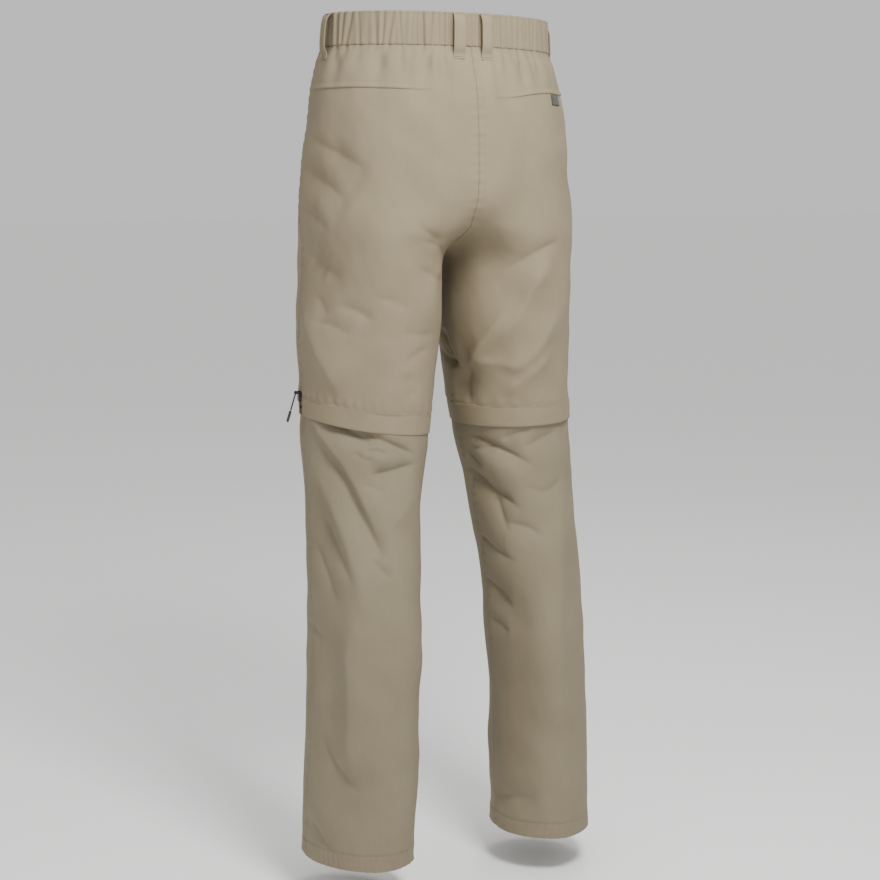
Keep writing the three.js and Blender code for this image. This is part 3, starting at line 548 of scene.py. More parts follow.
# %% Gathers
GATHER_COLUMNS = ("turn", "width", "depth", "lean", "below")
GATHERS = [
    (101, 2.2, 1.2, 1, 12), (97, 1.8, 0.9, -1, 8), (80, 2.2, 2.2, 1, 26), (76, 1.6, 1.2, 0, 12),
    (72, 2.4, 2, -1, 20), (66, 1.6, 0.8, 1, 10), (57, 2.6, 1.4, 1, 22), (53, 1.8, 1.9, 0, 18),
    (49, 2, 1.4, -1, 26), (44, 1.6, 1, 1, 14), (38, 1.8, 0.8, 0, 10), (32, 1.8, 2.2, 0.5, 16),
    (27.5, 1.6, 1.6, -0.5, 30), (23, 1.6, 1.2, 0.5, 12), (20, 2, 2.2, 0, 34), (16.5, 1.5, 1.6, 0, 16),
    (9, 2, 1.8, 0.5, 8), (6, 1.6, 1.2, -0.5, 8), (3.5, 1.8, 1.8, 0, 24), (0.5, 1.6, 1.6, 0.4, 30),
    (-2, 1.4, 1, 0, 12), (-12.5, 1.8, 1.8, -0.5, 34), (-14, 1.6, 1.2, 0.5, 22), (-18, 2, 1.6, 0, 40),
    (-23, 1.6, 0.8, 1, 14), (-31, 2.2, 2, -0.5, 44), (-35, 1.6, 1.3, 0.5, 20), (-38, 1.8, 1.7, 0, 36),
    (-45, 2.2, 1.9, -1, 40), (-50, 1.6, 0.9, 1, 14), (-58, 2.2, 1.6, 0, 26), (-63, 1.6, 1, 1, 12),
    (-70, 2.4, 1.8, -1, 24), (-75, 1.8, 1.2, 0, 16), (-82, 2, 1.7, 1, 22), (-92, 2, 1.1, -1, 14),
    (-97, 1.8, 1.2, 1, 10), (-102, 2, 0.9, 0, 10),
]
gathers = [dict(zip(GATHER_COLUMNS, row)) for row in GATHERS]
BAND_TOP = 21.0
BAND_BOTTOM = -19.0
BAND_MIDDLE = 1
WAIST_RADIUS = 131            # the waist's mean radius, to turn degrees into millimetres
OPENS_OVER = 14               # a pucker is twice as wide this far below the band
FADES_OVER = 1.5              # a pucker has died out at about this many times its length
SHOULDER_OFF = 2.2            # the swell on both sides of a gather, in its widths
SHOULDER_WIDTH = 1.2
SHOULDER_HEIGHT = 0.45


def gather_depth(around, z):
    """How far the gathers draw the cloth in. around is the direction in degrees, z the height."""
    total = np.zeros(np.broadcast(around, z).shape)
    half_band = (BAND_TOP - BAND_BOTTOM) / 2
    below = np.clip(BAND_BOTTOM - z, 0, None)
    for row in gathers:
        spread = row["width"] * (1 + below / OPENS_OVER)
        line = row["turn"] + row["lean"] * (z - BAND_MIDDLE) / half_band
        away = (around - line) * math.radians(1) * WAIST_RADIUS
        fading = np.exp(-((below / (FADES_OVER * row["below"])) ** 2))
        groove = np.exp(-((away / spread) ** 2))
        shoulder = np.exp(-((np.abs(away) - SHOULDER_OFF * spread) / (SHOULDER_WIDTH * spread)) ** 2)
        total += row["depth"] * fading * (groove - SHOULDER_HEIGHT * shoulder)
    return total


# %% [markdown]
# Between its folds real cloth is never quite smooth. A few long, low waves running at odd angles
# give it that slight unevenness. They are sines with a fixed seed, so every run gives the same cloth.

# %% Long low waves
rng = np.random.default_rng(7)
WAVE_COLUMNS = ("length", "height", "count")
WAVES = [(95, 0.55, 5), (48, 0.2, 6), (21, 0.045, 6)]
FULL_TURN = 6.28              # near enough for the place where a wave starts
waves = []
for row in WAVES:
    kind = dict(zip(WAVE_COLUMNS, row))
    for _ in range(kind["count"]):
        direction = rng.normal(size=3) * (1.0, 1.0, 0.75)
        direction /= np.linalg.norm(direction)
        length = kind["length"] * rng.uniform(0.8, 1.3)
        waves.append((direction * 2 * np.pi / length, kind["height"], rng.uniform(0, FULL_TURN)))


def wave_height_at(place):
    return sum(height * np.sin(place @ direction + start) for direction, height, start in waves)


# %% [markdown]
# ## Seams
#
# Where two panels meet, one goes under the other and rows of stitches hold them. The upper edge
# makes the fine line that the eye reads as a seam, and the thread draws the cloth into small
# puckers on both sides. Each panel is told here how far it stands off along its seams.

# %% Seam lines and the drawn-in cloth beside them
SIDE_TURN = 106.0             # the side seams run a little forward of the outer side
SEAT_SEAM_X = 7.0             # the seat seam is drawn over to the wearer's left
LOWER_INSET = 1.6             # the lower leg hangs this far inside the shorts at the zip
ZIP_HALF = 3.8
SEAM_GAP = 0.3
SEAM_STEP = 0.95              # one layer of cloth with its turning
LAP_REACH = 1.6               # how far from a seam the under layer has dipped
FLAP_TOP = KNEE_LEVEL + 14
HEM_STITCH = -997.0
PUCKER = 0.34                 # height of the small puckers along a seam
PUCKER_LENGTH = 11.0
PUCKER_REACH = 9.0
SECOND_PUCKER = 1.7           # a slower, weaker wave under the first keeps them uneven
SECOND_HEIGHT = 0.6


def side_u(z):
    return turn_to_u(z, SIDE_TURN)


def middle_speed(leg, z):
    at_middle = np.ones(np.shape(z))
    step = body_point(leg, z, at_middle) - body_point(leg, z, at_middle - STEP_U)
    return np.linalg.norm(step, axis=-1) / STEP_U


def seat_u(leg, z):
    drawn = SEAT_SEAM_X * leg * smooth(CROTCH_Z + 6, -215, z)
    return 1 - drawn / middle_speed(leg, z)


def seam_distances(leg, z, u, speed):
    """Millimetres to the side seam, to the middle seam or inseam behind, and to the one in front."""
    return {
        "side": (u - side_u(z)) * speed,
        "back": (seat_u(leg, z) - u) * speed,
        "front": (u + 1) * speed,
    }


def puckers(z, distance, start):
    turn = 2 * np.pi * z / PUCKER_LENGTH
    wave = np.sin(turn + start) + SECOND_HEIGHT * np.sin(turn / SECOND_PUCKER + 2 * start)
    return PUCKER * wave * np.exp(-((distance / PUCKER_REACH) ** 2))


# The hem ropes: its two layers creep against each other, so slanting ridges cross the stitch
ROPE = {"height": 0.42, "pitch": 9.5, "slant": 34, "from": -985, "to": -999}
HEM_GROOVE = {"depth": 0.55, "half_width": 1.3}
# Above a flap's seam the cloth is drawn into small upright tucks
TUCKS = {"height": 0.75, "pitch": 15, "sway": 0.7, "sway_pitch": 19, "reach": 12}
# At that seam it dips, and under the flap it lies back so that the flap's face is flush with it
FLAP_GROOVE = {"depth": 0.5, "half_width": 2.6}
UNDER_FLAP = 1.7


def hem_and_knee(z, along):
    """Small puckers along the hem stitch and above the flap. along is the distance round the leg."""
    slanting = along / ROPE["pitch"] + (z - HEM_STITCH) / ROPE["slant"]
    roping = ROPE["height"] * np.sin(2 * np.pi * slanting) * smooth(ROPE["from"], ROPE["to"], z)
    caught = -HEM_GROOVE["depth"] * np.exp(-(((z - HEM_STITCH) / HEM_GROOVE["half_width"]) ** 2))
    above = np.clip(z - FLAP_TOP, 0, None)
    swayed = 2 * np.pi * along / TUCKS["pitch"] + TUCKS["sway"] * np.sin(along / TUCKS["sway_pitch"])
    drawn = TUCKS["height"] * np.sin(swayed) * np.exp(-((above / TUCKS["reach"]) ** 2))
    dip = -FLAP_GROOVE["depth"] * np.exp(-(((z - FLAP_TOP) / FLAP_GROOVE["half_width"]) ** 2))
    laid_back = -UNDER_FLAP * smooth(FLAP_TOP - 0.5, FLAP_TOP - 5, z)
    upper = z > KNEE_LEVEL
    return roping + caught + np.where(upper, drawn * smooth(-458, -454, z) + dip + laid_back, 0)


GATHERS_DRAWN = 0.85          # the cloth at the band's foot follows the gathers this much
GATHERS_FULLER = 0.8          # and this much more a little lower, where nothing holds it


def cloth(leg, z, u, out=0.0, tuck=None):
    """Points of the finished cloth. out moves them outwards, tuck draws a hidden edge inwards.

    Each kind of relief fades out where a seam holds the cloth still: at the band, at the zip and,
    near the crotch, at the middle seams.
    """
    z, u = np.broadcast_arrays(np.asarray(z, float), np.asarray(u, float))
    place = body_point(leg, z, u)
    normal, speed = body_slope(leg, z, u)
    off_zip = np.abs(z - KNEE_LEVEL)
    off_middle = np.maximum(smooth(1, 0.88, np.abs(u)), smooth(-275, -315, z))
    broad = smooth(-30, -90, z) * off_middle * smooth(2, 14, off_zip)
    crisp = smooth(-30, -60, z) * smooth(2, 9, off_zip)
    crisp = crisp * np.maximum(smooth(1, 0.95, np.abs(u)), smooth(CROTCH_Z - 2, CROTCH_Z - 25, z))
    height = fold_height(leg, place) * broad + crease_height(leg, place) * crisp
    height = height + wave_height_at(place) * smooth(2, 30, off_zip) * smooth(-19, -60, z)
    below_zip = smooth(-505, KNEE_LEVEL - ZIP_HALF, z) * (z < KNEE_LEVEL)
    height = height - LOWER_INSET * below_zip
    around = np.degrees(np.arctan2(place[..., 0], place[..., 1]))
    drawn = GATHERS_DRAWN + GATHERS_FULLER * smooth(-20, -42, z)
    height = height - drawn * gather_depth(around, z) * smooth(-150, -60, z)
    seams = seam_distances(leg, z, u, speed)
    height = height + puckers(z, seams["side"], 1.0 + leg)
    parted = smooth(CROTCH_Z - 8, CROTCH_Z - 30, z)
    seat = smooth(CROTCH_Z + 8, CROTCH_Z + 30, z)
    height = height + puckers(z, seams["back"], 2.0) * np.maximum(parted, seat)
    height = height + puckers(z, seams["front"], 2.0) * np.maximum(parted, seat)
    height = height + hem_and_knee(z, u * speed)
    if tuck is None:
        tuck = -SEAM_STEP * (
            np.exp(-np.clip(-seams["side"], 0, None) / LAP_REACH) * (seams["side"] < 0)
            + np.exp(-np.clip(seams["front"], 0, None) / LAP_REACH) * parted
        )
    return place + normal * (height + out + tuck)[..., None], normal


# %% [markdown]
# ## From points to pieces
#
# A cloth piece is a grid of outer points and a grid of inner points, joined round the edge, so that
# it is a closed solid with a real thickness. Its UV map is in metres along the cloth, which lets the
# weave keep its size on every piece.

# %% Making a wall of cloth
def new_object(name, points, faces, uv=None, smooth_shading=True):
    mesh = bpy.data.meshes.new(name)
    mesh.from_pydata((np.asarray(points) * MM).tolist(), [], faces)
    if uv is not None:
        layer = mesh.uv_layers.new(name="cloth")
        corners = np.empty(len(mesh.loops), dtype=np.int32)
        mesh.loops.foreach_get("vertex_index", corners)
        layer.data.foreach_set("uv", (np.asarray(uv)[corners] * MM).ravel())
    mesh.polygons.foreach_set("use_smooth", [smooth_shading] * len(mesh.polygons))
    mesh.validate()
    mesh.update()
    result = bpy.data.objects.new(name, mesh)
    bpy.context.scene.collection.objects.link(result)
    return result


def rounded(to_edge, radius, least):
    """A quarter round: 1 away from an edge, falling to the root of least right at it."""
    return np.sqrt(np.clip(1 - (1 - np.clip(to_edge / radius, 0, 1)) ** 2, least, 1))


def wall(name, outer, inner):
    rows, columns = outer.shape[:2]
    far = rows * columns
    index = np.arange(far).reshape(rows, columns)
    a, b, c, d = index[:-1, :-1], index[:-1, 1:], index[1:, 1:], index[1:, :-1]
    front = np.stack([a, b, c, d], -1).reshape(-1, 4)
    back = np.stack([a, d, c, b], -1).reshape(-1, 4) + far

    def rim(line):
        return np.stack([line[1:], line[:-1], line[:-1] + far, line[1:] + far], -1)

    edges = [rim(index[0]), rim(index[:, -1]), rim(index[-1, ::-1]), rim(index[::-1, 0])]
    faces = np.concatenate([front, back, *edges])
    along = np.linalg.norm(np.diff(outer, axis=1), axis=2)
    across = np.concatenate([np.zeros((rows, 1)), along.cumsum(1)], 1)
    across -= across[:, columns // 2][:, None]
    drops = np.linalg.norm(np.diff(outer[:, columns // 2], axis=0), axis=1)
    down = np.broadcast_to(-np.concatenate([[0], drops.cumsum()])[:, None], across.shape)
    uv = np.stack([across, down], -1).reshape(-1, 2)
    points = np.concatenate([outer.reshape(-1, 3), inner.reshape(-1, 3)])
    corner = points[faces]
    middle = points.mean(0)
    fan = np.cross(corner[:, 1] - corner[:, 0], corner[:, 2] - corner[:, 0])
    fan += np.cross(corner[:, 2] - corner[:, 0], corner[:, 3] - corner[:, 0])
    volume = ((corner[:, 0] - middle) * fan).sum()
    if volume < 0:
        faces = faces[:, ::-1]
    return new_object(name, points, faces.tolist(), np.concatenate([uv, uv]))


def cut_size(piece):
    """The area of one side of a wall, and its width and length along the cloth, in metres."""
    mesh = piece.data
    area = sum(polygon.area for polygon in mesh.polygons) / 2
    uv = np.empty(len(mesh.loops) * 2)
    mesh.uv_layers[0].data.foreach_get("uv", uv)
    spans = np.ptp(uv.reshape(-1, 2), axis=0)
    return area, float(spans[0]), float(spans[1])


def dress(piece, slot, *replaced):
    """Rides on the body and stands for CAD nodes, which it hides. slot is not used."""
    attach(piece, BODY)
    if replaced:
        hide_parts(*replaced)


pieces = {}


def sew(name, outer, inner, material, slot):
    """One piece of cloth, in the place of the CAD node of that name."""
    piece = wall(f"{name}_cloth", outer, inner)
    piece.data.materials.append(material)
    dress(piece, slot, name)
    pieces[name] = piece


# %% [markdown]
# ## Materials
#
# The cloth is a plain-woven matt nylon: fine yarns and no gloss. The yarns are about 0.25 mm apart,
# too fine to show, so they are drawn twice as coarse. A slow mottle stands for the uneven take-up
# of dye, fine long slubs for uneven yarn, and a fine cockle for cloth that was never ironed.

# %% Colour and node helpers
def linear(hex_colour):
    values = [int(hex_colour[i:i + 2], 16) / 255 for i in (1, 3, 5)]
    return [v / 12.92 if v <= 0.04045 else ((v + 0.055) / 1.055) ** 2.4 for v in values] + [1.0]


def add(tree, kind, settings=None, **links):
    """One node with its settings and its links. A link is a socket, a value is set on the input."""
    node = tree.nodes.new(kind)
    for name, value in (settings or {}).items():
        setattr(node, name, value)
    for name, value in links.items():
        key = int(name[2:]) if name.startswith("in") and name[2:].isdigit() else name.replace("_", " ")
        socket = node.inputs[key]
        if isinstance(value, bpy.types.NodeSocket):
            tree.links.new(value, socket)
        else:
            socket.default_value = value
    return node


def new_material(name, colour, roughness, metallic=0.0, sheen=0.0, ior=1.5):
    material = bpy.data.materials.new(name)
    material.use_nodes = True
    tree = material.node_tree
    shader = next(node for node in tree.nodes if node.type == "BSDF_PRINCIPLED")
    shader.inputs["Base Color"].default_value = linear(colour)
    shader.inputs["Roughness"].default_value = roughness
    shader.inputs["Metallic"].default_value = metallic
    shader.inputs["IOR"].default_value = ior
    if sheen:
        shader.inputs["Sheen Weight"].default_value = sheen
        shader.inputs["Sheen Roughness"].default_value = 0.5
    return material, tree, shader


# %% Woven cloth
def woven(name, dark, light, yarn=0.5, bump=0.12, sheen=0.0):
    """A plain weave in the piece's own UV map, which is in metres. yarn is in millimetres."""
    material, tree, shader = new_material(name, light, 0.86, sheen=sheen, ior=1.53)
    uv = add(tree, "ShaderNodeUVMap", {"uv_map": "cloth"}).outputs["UV"]
    place = add(tree, "ShaderNodeTexCoord").outputs["Object"]
    mottle = add(tree, "ShaderNodeTexNoise", Vector=place, Scale=14.0, Detail=3.0, Roughness=0.55)
    slub_map = add(tree, "ShaderNodeMapping", Vector=uv, Scale=(900.0, 24.0, 1.0))
    slub = add(tree, "ShaderNodeTexNoise", Vector=slub_map.outputs[0], Scale=1.0, Detail=2.0)
    mixed = add(tree, "ShaderNodeMath", {"operation": "MULTIPLY_ADD"},
                in0=slub.outputs[0], in1=0.35, in2=mottle.outputs[0])
    shade = add(tree, "ShaderNodeMapRange", Value=mixed.outputs[0], From_Min=0.35, From_Max=1.0)
    colour = add(tree, "ShaderNodeMix", {"data_type": "RGBA"}, in0=shade.outputs[0],
                 in6=linear(dark), in7=linear(light))
    tree.links.new(colour.outputs[2], shader.inputs["Base Color"])
    per_metre = math.pi / (yarn * MM)
    split = add(tree, "ShaderNodeSeparateXYZ", Vector=uv)
    yarns = []
    for axis in ("X", "Y"):
        scaled = add(tree, "ShaderNodeMath", {"operation": "MULTIPLY"},
                     in0=split.outputs[axis], in1=per_metre)
        rounded_yarn = add(tree, "ShaderNodeMath", {"operation": "SINE"}, in0=scaled.outputs[0])
        yarns.append(rounded_yarn.outputs[0])
    crossing = add(tree, "ShaderNodeMath", {"operation": "MULTIPLY"}, in0=yarns[0], in1=yarns[1])
    cockle = add(tree, "ShaderNodeTexNoise", Vector=place, Scale=120.0, Detail=2.0)
    relief = add(tree, "ShaderNodeMath", {"operation": "MULTIPLY_ADD"},
                 in0=cockle.outputs[0], in1=1.6, in2=crossing.outputs[0])
    bumped = add(tree, "ShaderNodeBump", Height=relief.outputs[0], Strength=bump, Distance=0.0003)
    tree.links.new(bumped.outputs[0], shader.inputs["Normal"])
    return material


# Matt nylon poplin: soft, dry, slightly greenish khaki
SHELL_CLOTH = woven("nylon_poplin_shell", "#7e7259", "#8b7e66")
LOWER_CLOTH = woven("nylon_poplin_lower_leg", "#766c55", "#827761")
BAND_CLOTH = woven("nylon_poplin_waistband", "#7c7058", "#8a7d65")
# Woven polyester zip tape: denser, a little darker, a clear rib
TAPE_CLOTH = woven("woven_zip_tape", "#5f5849", "#6c6454", yarn=0.8, bump=0.35)
# Plain dark polyester ribbon, ribbed across, with a faint bloom
TAB_CLOTH = woven("ribbed_ribbon", "#34362e", "#47493f", yarn=0.9, bump=0.6, sheen=0.05)
print(len(bpy.data.materials), "materials so far")

# %% [markdown]
# ## The eight panels
#
# Each leg has a back and a front panel above the zip, and the same below. Their edges follow the
# seams of the CAD model. The back panels lie on top at the side seams and inseams, the right one on
# top at the seat seam, and the hidden edge goes five millimetres under.

# %% Rows and columns
CLOTH_THICKNESS = 0.8
HEM_TURN_UP = 0.7             # what the turned-up layer adds to the thickness
HEM_ROUND = 0.8
UNDER = 5.0                   # how far a hidden edge goes under
OPEN = 0.02                   # edges that meet in one plane are kept this far apart
EDGE_SHARES = np.array([0, 0.0025, 0.006, 0.011, 0.018])
FIRST_SHARE = 0.028


def columns(count):
    """Shares of the way across a panel, closer together at its edges."""
    between = np.linspace(FIRST_SHARE, 1 - FIRST_SHARE, count - 2 * len(EDGE_SHARES))
    return np.concatenate([EDGE_SHARES, between, 1 - EDGE_SHARES[::-1]])


def rows_between(*stops):
    """Heights from the top down. Each stop is a height and the spacing from there on."""
    rows = []
    for (top, spacing), (bottom, _) in zip(stops[:-1], stops[1:]):
        rows.append(np.linspace(top, bottom, max(2, round((top - bottom) / spacing)), endpoint=False))
    return np.concatenate([*rows, [stops[-1][0]]])


UPPER_ROWS = rows_between(
    (-14.5, 0.9), (-22, 2.2), (CROTCH_Z + 24, 1.6), (CROTCH_Z + 0.2, 0.4), (CROTCH_Z - 0.2, 1.6),
    (CROTCH_Z - 24, 2.5), (-440, 1.2), (KNEE_LEVEL + ZIP_HALF + SEAM_GAP, 1),
)
LOWER_ROWS = rows_between(
    (KNEE_LEVEL - ZIP_HALF - SEAM_GAP, 1.5), (-640, 2.2), (-770, 3), (-940, 2.4), (-992, 1),
    (HEM_Z + 2, 0.7), (HEM_Z, 1),
)
CROTCH_REACH = 14             # four seams meet at the crotch, so nothing laps so near to it
EDGE_ROLL = 0.3               # a folded edge rolls in a little
ROLL_REACH = 0.5
UNDER_BAND = 0.35             # the waist seam dips under the band


def away_from_crotch(z):
    return 1 - np.exp(-(((z - CROTCH_Z) / CROTCH_REACH) ** 2))


def panel(name, leg, rows, is_back, count, material, slot):
    shares = columns(count)
    z = rows[:, None] + np.zeros(len(shares))
    seam = side_u(rows)
    _, speed_side = body_slope(leg, rows, seam)
    _, speed_end = body_slope(leg, rows, np.full(len(rows), 0.995 if is_back else -0.995))
    under = UNDER * away_from_crotch(rows)
    # Above the crotch the left back goes under the right one, and the left front lies on top
    left_above = (rows > CROTCH_Z) & (leg == LEFT)
    if is_back:
        start = seam + OPEN / speed_side
        end = seat_u(leg, rows) + np.where(left_above, under, -OPEN) / speed_end
    else:
        start = seam + under / speed_side
        end = -1 - np.where(left_above, -OPEN, under) / speed_end
    u = start[:, None] + (end - start)[:, None] * shares
    _, speed = body_slope(leg, z, u)
    seams = seam_distances(leg, z, u, speed)
    if is_back:
        lapped = np.exp(-np.clip(seams["back"], 0, None) / LAP_REACH)
        tuck = -SEAM_STEP * lapped * left_above[:, None] * away_from_crotch(z)
        tuck -= EDGE_ROLL * np.exp(-np.clip(seams["side"], 0, None) / ROLL_REACH)
    else:
        tuck = -SEAM_STEP * np.exp(-np.clip(-seams["side"], 0, None) / LAP_REACH)
        lapped = np.exp(-np.clip(seams["front"], 0, None) / LAP_REACH)
        tuck -= SEAM_STEP * lapped * ~left_above[:, None] * away_from_crotch(z)
    tuck -= UNDER_BAND * smooth(-22, -18.5, z)
    outer, normal = cloth(leg, z, u, tuck=tuck)
    thickness = CLOTH_THICKNESS + HEM_TURN_UP * smooth(-996, -998, z)
    depth = thickness * rounded(z - HEM_Z, HEM_ROUND, 0.04)
    middle = outer - normal * (thickness / 2)[..., None]
    outer = middle + normal * (depth / 2)[..., None]
    inner = middle - normal * (depth / 2)[..., None]
    sew(name, outer, inner, material, slot)


# %% Cutting the panels
SIDES = (("left", LEFT), ("right", RIGHT))
PANELS = (
    # name, is_back, columns above the zip, columns below it
    ("back", True, 100, 124),
    ("front", False, 70, 70),
)
for side_name, leg in SIDES:
    for part, is_back, upper_columns, lower_columns in PANELS:
        panel(f"{part}_{side_name}", leg, UPPER_ROWS, is_back, upper_columns,
              SHELL_CLOTH, "shell_fabric")
        panel(f"lower_{part}_{side_name}", leg, LOWER_ROWS, is_back, lower_columns,
              LOWER_CLOTH, "lower_leg_fabric")
print("panels:", {name: len(piece.data.polygons) for name, piece in pieces.items()})

# %% [markdown]
# ## Waistband
#
# The back of the band is one elastic piece. It is a tube of cloth round the elastic, so its edges
# are round, and the gathers run right through it. The front pieces are plain, and the left one laps
# over the right one to carry the button.

# %% Band pieces
BAND_WALL = 2.4
BAND_OUT = 0.9
BAND_ROUND = 1.2
BAND_GATHERED = 0.85          # the band follows the gathers' depth this much
OVERLAP_TURN = 12
SIDE_GAP = 0.02


def band_place(around, z, out=0.0):
    """A point of the band. around is the direction in degrees, past 180 for the left front's lap."""
    around, z = np.broadcast_arrays(np.asarray(around, float), np.asarray(z, float))
    place = np.empty(around.shape + (3,))
    normal = np.empty(around.shape + (3,))
    for leg in (LEFT, RIGHT):
        mask = (around >= 0) if leg == LEFT else (around < 0)
        if mask.any():
            u = turn_to_u(z[mask], np.abs(around[mask]))
            place[mask] = body_point(leg, z[mask], u)
            normal[mask], _ = body_slope(leg, z[mask], u)
    return place + normal * np.broadcast_to(out, around.shape)[..., None], normal


def band_out(around, z):
    """How far the band's face stands off, with gathers behind and the lap in front."""
    elastic = smooth(SIDE_TURN, SIDE_TURN - 14, np.abs(around))
    full = 0.25 * np.sin(np.pi * np.clip((z - BAND_BOTTOM) / (BAND_TOP - BAND_BOTTOM), 0, 1))
    lap = (BAND_WALL + SEAM_GAP + 0.1) * smooth(150, 176, around)
    ripple = 0.3 * np.sin(around * 1.3 + 1.4) + 0.16 * np.sin(around * 0.71)
    gathered = BAND_GATHERED * gather_depth(around, z) * (1 - 0.25 * full)
    return BAND_OUT + lap + full + elastic * (ripple - gathered)


def band(name, around):
    heights = np.concatenate([
        BAND_TOP - np.array([0, 0.15, 0.5, 1.1]), np.linspace(BAND_TOP - 2.4, BAND_BOTTOM + 2, 16),
        BAND_BOTTOM + np.array([1.1, 0.5, 0.15, 0]),
    ])
    grid_around, z = np.meshgrid(around, heights)
    to_edge = np.minimum(BAND_TOP - z, z - BAND_BOTTOM)
    half = BAND_WALL / 2 * rounded(to_edge, BAND_ROUND, 0.03)
    middle = band_out(grid_around, z) - BAND_WALL / 2
    outer, _ = band_place(grid_around, z, middle + half)
    inner, _ = band_place(grid_around, z, middle - half)
    sew(name, outer, inner, BAND_CLOTH, "waistband_fabric")


band("waistband_back", np.linspace(SIDE_TURN - SIDE_GAP, SIDE_GAP - SIDE_TURN, 430))
band("waistband_front_left", np.linspace(180 + OVERLAP_TURN, SIDE_TURN + SIDE_GAP, 90))
band("waistband_front_right", np.linspace(-SIDE_TURN - SIDE_GAP, -180 + SIDE_GAP, 76))

# %% [markdown]
# ## Belt loops
#
# A belt loop is a folded strip tacked below the band and at its top. Between the tacks it stands off
# so that a belt can pass, which is why a dark gap shows beside it. Its edges are folded, so they are
# slightly thicker than its middle.

# %% Belt loops
LOOP_WIDTH = 14.0
LOOP_WALL = 1.5
LOOPS = [
    # name, direction round the waist, twist of the strip in millimetres
    ("belt_loop_back_left", 11.5, 0.5),
    ("belt_loop_back_right", -5.5, -0.4),
    ("belt_loop_side_left", 87, 0.8),
    ("belt_loop_side_right", -87, -0.8),
    ("belt_loop_front_left", 157.5, 0.3),
    ("belt_loop_front_right", -157.5, -0.3),
]
# height, and how far the inner face stands off the cloth
LOOP_PATH = [
    (-34.5, 0.05), (-31, 0.2), (-28, 1.5), (-25, 4), (-21, 6.8), (-14, 8.2), (-2, 8.6), (8, 8.3),
    (14, 6.8), (18, 4.2), (20.5, 2.3),
]
LOOP_STEPS = 4
LOOP_ACROSS = LOOP_WIDTH * np.array([
    -0.5, -0.49, -0.46, -0.4, -0.3, -0.15, 0, 0.15, 0.3, 0.4, 0.46, 0.49, 0.5])
LOOP_HOLLOW = 0.18            # between its two folded edges a loop is this much thinner
loop_frames = {}


def loop_strip(around, across, path, out):
    """Points of a strip that runs down at one direction round the waist."""
    centre, normal = band_place(np.full(len(path), around), path[:, 0])
    flat = normal * (1, 1, 0)
    flat /= np.linalg.norm(flat, axis=1, keepdims=True)
    along = np.stack([-flat[:, 1], flat[:, 0], np.zeros(len(flat))], -1)
    shift = centre[:, None] + along[:, None] * across[None, :, None]
    return shift + flat[:, None] * (path[:, 1][:, None] + out)[..., None], flat


for loop_name, around, twist in LOOPS:
    path = curve_through(LOOP_PATH, LOOP_STEPS)
    free = smooth(-40, -20, path[:, 0]) * smooth(20, 8, path[:, 0])
    half = LOOP_WALL / 2 * rounded(LOOP_WIDTH / 2 - np.abs(LOOP_ACROSS), 0.8, 0.05)
    hollow = -LOOP_HOLLOW * np.cos(np.pi * LOOP_ACROSS / LOOP_WIDTH) ** 2
    middle = LOOP_WALL / 2 + twist * LOOP_ACROSS / LOOP_WIDTH * free[:, None]
    outer, _ = loop_strip(around, LOOP_ACROSS, path, middle + half + hollow)
    inner, _ = loop_strip(around, LOOP_ACROSS, path, middle - half)
    sew(loop_name, outer, inner, BAND_CLOTH, "waistband_fabric")
    loop_frames[loop_name] = (around, path)

# %% [markdown]
# ## Pocket welts, woven tab, fly placket and knee flaps
#
# These are sewn onto the panels, so each is made from the panel's own points moved out. A welt rises
# from nothing to a crisp lower edge, which throws the fine shadow that marks the pocket. A knee flap
# is a folded strip: its upper edge is sewn down in the groove of a seam, its face is flush with the
# shorts above it, and its lower edge stands free over the zip.

# %% Pieces on the panels
def patch(name, leg, z, u, face_out, thickness, material, slot):
    outer, normal = cloth(leg, z, u, out=face_out)
    inner = outer - normal * np.broadcast_to(thickness, z.shape)[..., None]
    sew(name, outer, inner, material, slot)


WELTS = [
    # name, leg, top, from turn, to turn, dip towards the middle
    ("pocket_welt_left", LEFT, -63, 97, 27, 2),
    ("pocket_welt_right", RIGHT, -64.5, 94, 9, 9),
]
WELT_DOWN = np.array([0, 0.4, 1.2, 2.4, 3.8, 5, 5.8, 6.2, 6.4, 6.5])
WELT_LIP = {"from": 5.9, "over": 0.6}
WELT_THIN = 0.14              # how far it stands off where it lies flattest
WELT_RISE = 1.2
WELT_SUNK = 0.4               # its hidden side lies this far inside the cloth
welt_share = np.linspace(0, 1, 90)


def welt_face(down, share):
    """How far a welt stands off: least along its top, most at its lower edge, and less inwards."""
    lip = np.sqrt(np.clip(1 - np.clip((down - WELT_LIP["from"]) / WELT_LIP["over"], 0, 1) ** 2, 0.15, 1))
    ends = smooth(0, 0.012, share) * smooth(1, 0.75, share)
    return WELT_THIN + WELT_RISE * smooth(0, 5.5, down) * lip * ends


def welt_place(top, from_turn, to_turn, dip, down):
    """Height and u of a welt's points, down millimetres below its top edge."""
    z = top - down - dip * smooth(0.55, 1, welt_share)
    return z, turn_to_u(z, from_turn + (to_turn - from_turn) * welt_share + 0 * z)


for name, leg, *welt in WELTS:
    z, u = welt_place(*welt, WELT_DOWN[:, None])
    face = welt_face(WELT_DOWN[:, None], welt_share[None])
    patch(name, leg, z, u, face, face + WELT_SUNK, SHELL_CLOTH, "shell_fabric")

